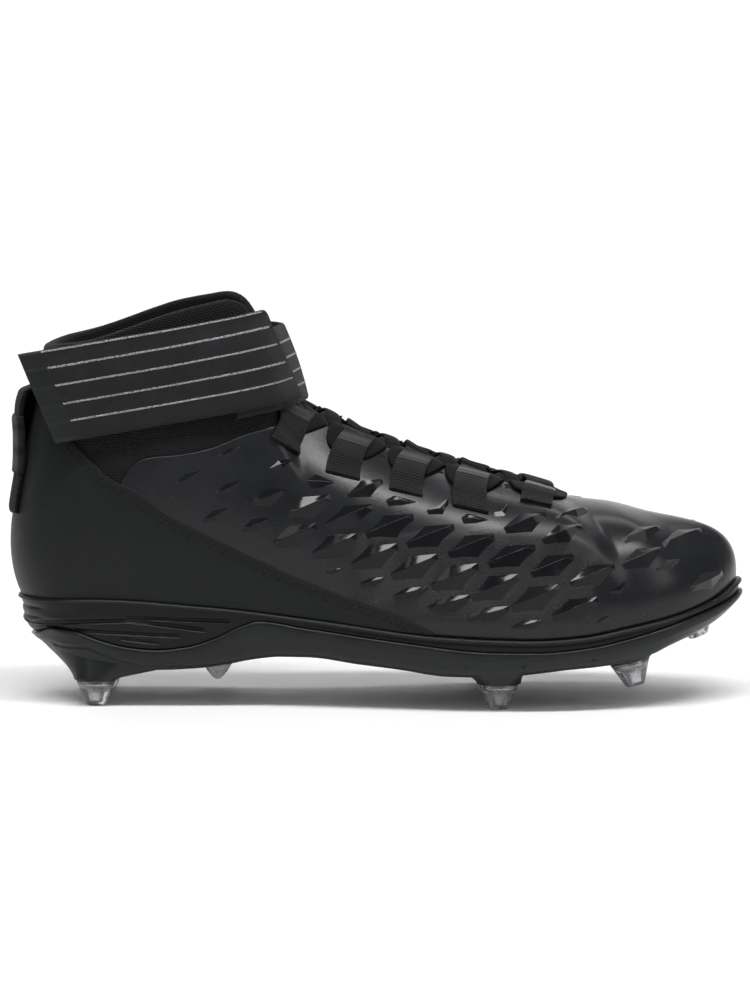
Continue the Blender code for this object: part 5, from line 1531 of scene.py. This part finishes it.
def tongueGrid(line):
    # under the throat's edges on both sides, with a crown between them
    flap = np.linspace(0.80, 1.0, 9)
    sides, leans = [], []
    for r in (line, ringCount - line):
        points, normals = wallSurface(r, flap), wallNormals(r, flap)
        sides.append(points - normals * (wallThickness(points)[..., None] + tongueLook["gap"]))
        leans.append(normals)
    start, end = sides[0][:, -1:], sides[1][:, -1:]
    slope = topSlope(line)
    lift = unit(np.stack([-slope, np.zeros_like(slope), np.ones_like(slope)], -1))
    lift *= np.where(slope > 0, -1, 1)[:, None]
    share = np.linspace(0, 1, 21)[1:-1][None, :, None]
    wide = smoothStep(0, 0.02, np.linalg.norm(end - start, axis=2))[:, :, None]
    crown = tongueLook["crown"] + tongueLook["ankleCrown"] * (1 - smoothStep(4.7, 5.9, line))
    bridge = start + (end - start) * share
    bridge = bridge + (lift * crown[:, None])[:, None, :] * wide * 4 * share * (1 - share)
    between = leans[0][:, -1:] * (1 - share) + leans[1][:, -1:] * share
    grid = np.concatenate([sides[0], bridge, sides[1][:, ::-1]], 1)
    normals = unit(np.concatenate([leans[0], unit(between) + lift[:, None] * 0.8 * wide, leans[1][:, ::-1]], 1))
    return grid, normals


def makeTongue():
    line = np.linspace(tongueLook["first"], tongueLook["last"], 150)
    grid, normals = tongueGrid(line)
    span = arcLengths(grid, 0)[:, 18:19]
    edge = np.minimum(span, span[-1:] - span) / 0.0024
    taper = np.sqrt(1 - (1 - np.clip(edge, 0.02, 1)) ** 2)
    half = tongueLook["thick"] / 2 * taper[..., None]
    middle = grid - normals * tongueLook["thick"] / 2
    cloths = [finishes["tongue"], finishes["lining"]]
    tongue = shell("tongue", middle + normals * half, middle - normals * half, cloths, merge=0.000012)
    place(tongue, "knit", "tongue")


makeTongue()


# Loops, lace and pull loop

def feelerFor(*names):
    # one tree of triangles over finished pieces, for rays
    points, faces = [], []
    for name in names:
        mesh = bpy.data.objects[name].data
        base = len(points)
        points.extend(v.co.copy() for v in mesh.vertices)
        faces.extend([base + i for i in p.vertices] for p in mesh.polygons)
    return BVHTree.FromPolygons(points, faces)


instep = feelerFor("bootie", "vampFilm", "tongue")

# lower middle in the photograph's view, x and height; then the section at the throat's edge, and the widths
loopRows = (
    (-0.0367, 0.1061, 5.55, 0.0155, 0.0140),
    (-0.0123, 0.0935, 6.23, 0.0150, 0.0134),
    (0.0143, 0.0862, 6.97, 0.0145, 0.0130),
    (0.0416, 0.0793, 7.65, 0.0155, 0.0134),
    (0.0692, 0.0818, 8.44, 0.0138, 0.0132),
)
lateralView = SideView(-1)


def loopLine(number):
    # ring places (as on the lateral side), v and distance down, from the lower end to the throat's edge
    x, h, section, _, _ = loopRows[number]
    r, v, _ = lateralView.find(x, h)
    t = np.linspace(0, 1, 61)
    line = np.stack([r + (section - r) * t, v + (1 - v) * t], 1)
    points = np.array([wallSurface([a], [b])[0, 0] for a, b in line])
    arc = arcOf(points)
    return line, arc[-1] - arc


loopLines = [loopLine(i) for i in range(len(loopRows))]


def loopSpot(number, side, shift, down, lift):
    line, depth = loopLines[number]
    section = np.interp(down, depth[::-1], line[::-1, 0]) + shift
    v = np.interp(down, depth[::-1], line[::-1, 1])
    section = min(section, last["throatEnd"] + 0.4)
    r = ringPlace(section, side)
    return wallSurface([r], [v])[0, 0] + wallNormals([r], [v])[0, 0] * lift, wallNormals([r], [v])[0, 0]


loopLook = {
    "thick": 0.00115, "flat": 0.00112, "over": 0.00300, "satinFrom": 0.0066, "satinTo": 0.0016,
    "fall": 15, "endFall": 20,
}


def makeLoop(number, side):
    lowWidth, topWidth = loopRows[number][3:]
    _, depth = loopLines[number]
    length = depth[0]
    small = length < 0.012
    over = loopLook["over"] * (0.8 if small else 1.0)
    lifts = steadyCurve((
        (-1.0, over * 0.55), (0.0, over * 0.72), (0.10, over * 0.94), (0.24, over * 1.04), (0.44, over * 1.06),
        (0.60, over * 0.90), (0.74, loopLook["flat"] + 0.0004), (0.84, loopLook["flat"]),
        (1.0, loopLook["flat"] - 0.0001),
    ))
    path, normals, width = [], [], []
    for share in np.linspace(1, 0, 44):
        spot, normal = loopSpot(number, side, 0, share * length, float(lifts(share)))
        path.append(spot)
        normals.append(normal)
        width.append(topWidth + (lowWidth - topWidth) * share ** 1.2)
    fall = math.radians(loopLook["endFall"] if small else loopLook["fall"])
    weft = np.array([math.cos(fall), 0.0, -math.sin(fall)])
    rim, lean = loopSpot(number, side, 0, 0.0, 0.0)
    below, _ = loopSpot(number, side, 0, min(0.002, length * 0.3), 0.0)
    outward = unit(rim - below)
    turnIn = ((0.0010, over * 0.50), (0.0018, over * 0.08), (0.0017, -0.0014), (0.0008, -0.0026), (-0.0012, -0.0029))
    for away, lift in turnIn:
        path.append(rim + outward * away + lean * lift)
        normals.append(unit(lean * max(0.0, lift / over + 0.3) + outward * 1.0) if lift > -0.002 else -lean)
        width.append(topWidth * 0.99)
    path, normals = np.array(path), np.array(normals)
    normals = unit(normals)
    along = arcOf(path)
    down = length - along
    satin = [1 if loopLook["satinTo"] < d < loopLook["satinFrom"] and not small else 0 for d in down[:-1]]
    name = ("lateral" if side < 0 else "medial") + "Loop" + str(number + 1)
    onSatin = (down > loopLook["satinTo"]) & (down < loopLook["satinFrom"])
    thick = np.where(onSatin, loopLook["thick"] * 1.15, loopLook["thick"])
    cloths = [finishes["webbing"], finishes["satin"]]
    loop = band(name, path, normals, width, thick, cloths, weft, sides=16, squareness=4.5, rowFinish=satin)
    # a tack row across the foot
    foot = np.array([path[1] + weft * lowWidth * s for s in np.linspace(-0.42, 0.42, 9)])
    tack = stitches(
        "tack", foot, np.tile(normals[1], (9, 1)), finishes["thread"],
        length=0.0015, gap=0.0007, radius=0.00022, lift=loopLook["thick"] * 0.45,
    )
    loop = joinAll(name, [loop, tack])
    node = "loop_" + ("lateral_" if side < 0 else "medial_") + str(number + 1)
    place(loop, "webbing", node)


def restOn(spot, lift, side, clear):
    highest = -0.02
    for share in (-0.55, -0.28, 0, 0.28, 0.55):
        start = spot + side * share + lift * 0.05
        distance = instep.ray_cast(Vector(start), Vector(-lift), 0.075)[3]
        if distance is not None:
            highest = max(highest, 0.05 - distance)
    return spot + lift * (highest + clear)


laceLook = {"width": 0.0068, "thick": 0.0015, "ride": 0.00132, "cross": 0.0013}


def laceBridge(start, end, startLift, endLift, shares, extra):
    along = unit(end - start)
    path, normals = [], []
    for share in shares:
        spot = start + (end - start) * share
        lift = startLift * (1 - share) + endLift * share
        lift = unit(lift - along * (lift @ along))
        side = np.cross(along, lift)
        clear = laceLook["thick"] / 2 + 0.00015 + extra * math.sin(math.pi * share) ** 1.5
        path.append(restOn(spot, lift, side * laceLook["width"], clear))
        normals.append(lift)
    return path, normals


def laceStrand(side, first):
    # from the lowest loop's front up to the highest, crossing the throat at each step
    path, normals = [], []
    for step, number in enumerate(range(len(loopRows) - 1, -1, -1)):
        length = loopLines[number][1][0]
        wide = 0.0135 / 0.0430 if number < 4 else 0.0125 / 0.0337
        stops = [(0.62, 0.02), (0.46, 0.30), (0.22, 0.43), (0.0, 0.44), (-0.22, 0.43), (-0.46, 0.30), (-0.62, 0.02)]
        if number == 0:
            stops = stops[:4] + [(-0.15, 0.43)]
        for shift, down in stops:
            spot, normal = loopSpot(number, side, shift * wide * 1.25, down * length, laceLook["ride"])
            path.append(spot)
            normals.append(normal)
        if number > 0:
            nextWide = 0.0135 / 0.0430
            nextLength = loopLines[number - 1][1][0]
            end, endLift = loopSpot(number - 1, -side, 0.62 * nextWide * 1.25, 0.02 * nextLength, laceLook["ride"])
            extra = laceLook["cross"] if (step % 2 == 0) == first else 0.0
            spots, lifts = laceBridge(path[-1], end, normals[-1], endLift, (0.14, 0.3, 0.5, 0.7, 0.86), extra)
            path += spots
            normals += lifts
            side = -side
    return path, normals


def makeLace():
    lateral, lateralNormals = laceStrand(-1, True)
    medial, medialNormals = laceStrand(1, False)
    start, startLift = lateral[0], lateralNormals[0]
    end, endLift = medial[0], medialNormals[0]
    spots, lifts = laceBridge(start, end, startLift, endLift, (0.2, 0.4, 0.6, 0.8), 0.0)
    path = np.array(lateral[::-1] + spots + medial)
    normals = np.array(lateralNormals[::-1] + lifts + medialNormals)
    count = len(path) * 9
    both = smoothPath(np.concatenate([path, normals * 0.02], 1), count)
    line, lift = both[:, :3], unit(both[:, 3:])
    # push the line clear of what lies under it, evenly
    along = unit(np.gradient(line, axis=0))
    lift = unit(lift - along * (lift * along).sum(1)[:, None])
    push = np.zeros(count)
    for i in range(count):
        side = np.cross(along[i], lift[i]) * laceLook["width"] * 0.8
        spot = restOn(line[i], lift[i], side, laceLook["thick"] / 2 + 0.00005)
        push[i] = max(0.0, (spot - line[i]) @ lift[i])
    push = np.minimum(push, 0.003)
    kernel = np.ones(9) / 9
    push = np.maximum(push * 0.4, np.convolve(push, kernel, mode="same"))
    line = line + lift * push[:, None]
    lace = band("lace", line, lift, laceLook["width"], laceLook["thick"], [finishes["lace"]], sides=14, squareness=2.6)
    place(lace, "webbing", "lace")
    length = np.linalg.norm(np.diff(line, axis=0), axis=1).sum()
    print("lace length", round(float(length) * 1000), "mm")


for side in (-1, 1):
    for number in range(len(loopRows)):
        makeLoop(number, side)
makeLace()
print("tongue, loops and lace made")

pullLook = {
    "long": 0.055, "above": 0.0036, "seat": 0.0016, "mesh": 0.0019, "wrap": 0.0034,
    "wrapFrom": 0.30, "wrapTo": 0.74, "halfTurn": 0.42,
    "standoff": (
        (0.0, 0.0016), (0.15, 0.0018), (0.30, 0.0021), (0.57, 0.0048), (0.73, 0.0070), (0.84, 0.0077),
        (0.93, 0.0072), (1.0, 0.0024),
    ),
}


def pullGrid(first, lastShare, count, across, depth):
    spine = wallSurface([0.0], np.linspace(0, 1, 300))[0]
    top = float(quarterTops(np.array([0.0]))[0])
    v = np.linspace(0, 1, 300)
    rise = arcOf(spine)
    topLength = np.interp(top, v, rise) + pullLook["above"]
    standoff = steadyCurve(pullLook["standoff"])
    outer, inner = [], []
    for share in np.linspace(first, lastShare, count):
        spot = np.interp(topLength - pullLook["long"] * (1 - share), rise, v)
        turn = np.linspace(-1, 1, across)
        fold = smoothStep(0.35, 0.95, -turn)[:, None]  # the medial edge is drawn down onto the heel
        stand = float(standoff(share)) * (1 - fold) + pullLook["seat"] * fold
        r = turn * pullLook["halfTurn"]
        points = wallSurface(np.mod(r, ringCount), [spot])[:, 0]
        normals = wallNormals(np.mod(r, ringCount), [spot])[:, 0]
        low, thick = depth(share)
        outer.append(points + normals * (stand + low + thick))
        inner.append(points + normals * (stand + low))
    return np.array(outer), np.array(inner)


def makePullLoop():
    def meshDepth(share):
        end = min(share, 1 - share) / 0.05
        return 0.0, pullLook["mesh"] * (0.55 + 0.45 * math.sqrt(min(1.0, max(end, 0.0))))

    def wrapDepth(share):
        edge = min(share - pullLook["wrapFrom"], pullLook["wrapTo"] - share) / 0.03
        swell = math.sqrt(1 - (1 - min(1.0, max(edge, 0.0))) ** 2)
        thick = pullLook["mesh"] + 0.0004 + (pullLook["wrap"] - pullLook["mesh"] - 0.0004) * swell
        return -0.0004 * swell, thick

    outer, inner = pullGrid(0.0, 1.0, 90, 15, meshDepth)
    strip = shell("pullStrip", outer, inner, [finishes["pullMesh"]], rimSteps=4)
    outer, inner = pullGrid(pullLook["wrapFrom"], pullLook["wrapTo"], 60, 15, wrapDepth)
    wrap = shell("pullWrap", outer, inner, [finishes["pull"]], rimSteps=4)
    pull = joinAll("heelPullLoop", [strip, wrap])
    place(pull, "webbing", "heel_pull_loop")


makePullLoop()


# The ankle strap

strapLook = {
    "width": 0.0386, "thick": 0.0018, "rest": 0.0014, "reach": 0.1022, "foot": (0.389, 0.7687), "climb": 0.171,
    "shear": 0.40, "middle": 0.22, "frontWidth": 0.0322, "frontFoot": -0.076, "stripe": 0.00078, "border": 0.0088,
    "stripes": (0.985, 0.800, 0.605, 0.400, 0.204), "frontStripes": (0.80, 0.60, 0.40, 0.21), "stripeEnd": 0.0026,
}


def strapHeight(x, level):
    foot = (last["stackHeight"] + last["collarRise"]) * strapLook["foot"][1]
    return foot + strapLook["climb"] * (x - station(strapLook["foot"][0])) + level * strapLook["width"] * 1.02


def tautHull(points):
    # corners of a taut loop round (x, y) points, anticlockwise
    def half(rows):
        hull = []
        for p in rows:
            while len(hull) > 1:
                a, b = hull[-2], hull[-1]
                if (b[0] - a[0]) * (p[1] - a[1]) - (b[1] - a[1]) * (p[0] - a[0]) > 0:
                    break
                hull.pop()
            hull.append(p)
        return hull

    rows = sorted(map(tuple, points))
    return half(rows)[:-1] + half(rows[::-1])[:-1]


def hullReach(hull, middle, angles):
    # how far a ray from the ankle's middle goes to a taut loop
    reach = np.zeros(len(angles))
    way = np.stack([np.cos(angles), np.sin(angles)], 1)
    for a, b in zip(hull, hull[1:] + hull[:1]):
        a, b = np.array(a) - (middle, 0), np.array(b) - (middle, 0)
        edge = b - a
        det = -way[:, 0] * edge[1] + way[:, 1] * edge[0]
        det = np.where(np.abs(det) < 1e-12, 1e-12, det)
        t = (-a[0] * edge[1] + a[1] * edge[0]) / det
        s = (way[:, 0] * a[1] - way[:, 1] * a[0]) / det
        reach = np.where((s >= -1e-6) & (s <= 1 + 1e-6) & (t > reach), t, reach)
    return reach


ankle = feelerFor("bootie", "vampFilm", "tongue", "heelQuarter")
ankleAngles = np.radians(np.arange(-180, 180, 1.0))


def ankleReach(level, added=None, nearby=(-0.14, 0, 0.14)):
    # the taut outline round the ankle at one level of the strap, as a reach for each angle
    middle = station(strapLook["middle"])
    felt = []
    for near in level + np.array(nearby):
        base = np.array([middle, 0, strapHeight(middle, near)])
        for a in np.radians(np.arange(-180, 180, 3)):
            way = np.array([math.cos(a), math.sin(a), strapLook["climb"] * math.cos(a)])
            start = base + way * 0.2
            distance = ankle.ray_cast(Vector(start), Vector(-unit(way)), 0.19)[3]
            if distance is not None:
                spot = start - unit(way) * distance
                if added is not None:
                    spot = spot + way * added(a)
                felt.append((spot[0], spot[1]))
    reach = hullReach(tautHull(felt), middle, ankleAngles)
    turn = np.arange(-18, 19)
    weights = np.exp(-((turn / 6.0) ** 2))
    weights /= weights.sum()
    soft = sum(w * np.roll(reach, t) for w, t in zip(weights, turn))
    return np.maximum(soft, reach * 0.999) + 0.0002


def reachTable(added=None):
    levels = np.linspace(0, 1, 6)
    rows = np.array([ankleReach(level, added) for level in levels])
    smooth = evenSpline(levels, rows)
    return lambda level: smooth(np.array([level]))[0]


def ringLine(reach, angles):
    middle = station(strapLook["middle"])
    picked = np.interp(angles, ankleAngles, reach)
    return np.stack([middle + picked * np.cos(angles), picked * np.sin(angles)], 1)


def stripeRows(levels, stripes, half):
    # rows across the strap, with a pair at each stripe's edges
    rows = list(levels)
    for s in stripes:
        rows = [row for row in rows if abs(row - s) > half * 1.6]
        rows += [s - half, s - half * 0.3, s + half * 0.3, s + half]
    return np.array(sorted(row for row in rows if 0 <= row <= 1))


def strapShell(name, grid, normals, levels, stripes, half, border=0.0, plain=0.0):
    # silver on the stripes' own faces, and a smooth film on the free end
    shares = np.linspace(0, 1, len(grid))

    def paint(i, k):
        along, level = shares[i], (levels[k] + levels[k + 1]) / 2
        if along < border or (border and along > 0.992):
            return 2
        return int(along < 1 - plain and any(abs(level - s) < half for s in stripes))

    thick = strapLook["thick"]
    proud = np.array([0.00016 if any(abs(v - s) < half * 0.8 for s in stripes) else 0.0 for v in levels])
    edge = np.minimum(levels, 1 - levels) * strapLook["width"] / 0.0010
    roll = thick / 2 * np.sqrt(1 - (1 - np.clip(edge, 0.25, 1)) ** 2)
    middle = grid + normals * thick / 2
    outer = middle + normals * (roll + proud)[None, :, None]
    inner = middle - normals * roll[None, :, None]
    cloths = [finishes["elastic"], finishes["silver"], finishes["border"]]
    return shell(name, outer, inner, cloths, rimSteps=3, paint=paint)


def gridNormals(grid):
    along, across = np.gradient(grid, axis=0), np.gradient(grid, axis=1)
    return unit(np.cross(along, across))


def makeFrontBand():
    low = ankleReach(strapLook["frontFoot"], nearby=(0, 0.1))
    high = ankleReach(strapLook["frontFoot"] + strapLook["frontWidth"] / strapLook["width"])
    half = strapLook["stripe"] / 2 / strapLook["frontWidth"]
    levels = stripeRows(np.linspace(0, 1, 34), strapLook["frontStripes"], half)
    angles = np.radians(np.linspace(-52, 150, 170))
    grid = np.zeros((len(angles), len(levels), 3))
    for k, level in enumerate(levels):
        true = strapLook["frontFoot"] + level * strapLook["frontWidth"] / strapLook["width"]
        reach = low + (high - low) * level + 0.0008 * math.sin(math.pi * level)
        line = ringLine(reach + strapLook["rest"], angles)
        grid[:, k] = np.stack([line[:, 0], line[:, 1], strapHeight(line[:, 0], true)], 1)
    normals = gridNormals(grid)
    front = strapShell("strapFront", grid, normals, levels, strapLook["frontStripes"], half)
    roundEdges(front, 0.0003, 2, 50)
    place(front, "elastic", "strap_front")


def makePanel():
    def bandUnder(a):
        begun = smoothStep(math.radians(-58), math.radians(-50), a)
        inside = begun * (1 - smoothStep(math.radians(150), math.radians(158), a))
        return float(inside) * (strapLook["rest"] + strapLook["thick"] - 0.0006)

    table = reachTable(bandUnder)
    half = strapLook["stripe"] / 2 / strapLook["width"]
    levels = stripeRows(np.linspace(0, 1, 42), strapLook["stripes"], half)
    shares = np.linspace(0, 1, 190)
    grid = np.zeros((len(shares), len(levels), 3))
    angles = np.radians(np.arange(25, -110, -0.75))
    for k, level in enumerate(levels):
        front = station(strapLook["foot"][0]) - strapLook["shear"] * level * strapLook["width"]
        line = ringLine(table(level) + strapLook["rest"], angles)
        widest = line[:, 1].argmin()
        lead = line[: widest + 1]
        straight = np.linspace(line[widest, 0], front - strapLook["reach"] - 0.01, 12)[1:]
        tail = np.stack([straight, np.full(11, line[widest, 1])], 1)
        whole = np.concatenate([lead, tail])
        first = int(np.argmax(whole[:, 0]))
        whole = whole[first:]
        arc = arcOf(whole)
        start = np.interp(-front, -whole[:, 0], arc)
        end = np.interp(-(front - strapLook["reach"]), -whole[:, 0], arc)
        at = end + (start - end) * shares
        x, y = np.interp(at, arc, whole[:, 0]), np.interp(at, arc, whole[:, 1])
        grid[:, k] = np.stack([x, y, strapHeight(x, level)], 1)
    kernel = np.exp(-((np.arange(-4, 5) / 2.5) ** 2))
    kernel /= kernel.sum()
    padded = np.concatenate([2 * grid[:1] - grid[4:0:-1], grid, 2 * grid[-1:] - grid[-2:-6:-1]])
    grid = sum(w * padded[i : i + len(grid)] for i, w in enumerate(kernel))
    normals = gridNormals(grid)
    ends = strapLook["border"] / strapLook["reach"], strapLook["stripeEnd"] / strapLook["reach"]
    panel = strapShell("strapPanel", grid, normals, levels, strapLook["stripes"], half, *ends)
    roundEdges(panel, 0.0003, 2, 50)
    place(panel, "elastic", "strap_panel")


makeFrontBand()
makePanel()
print("strap made")
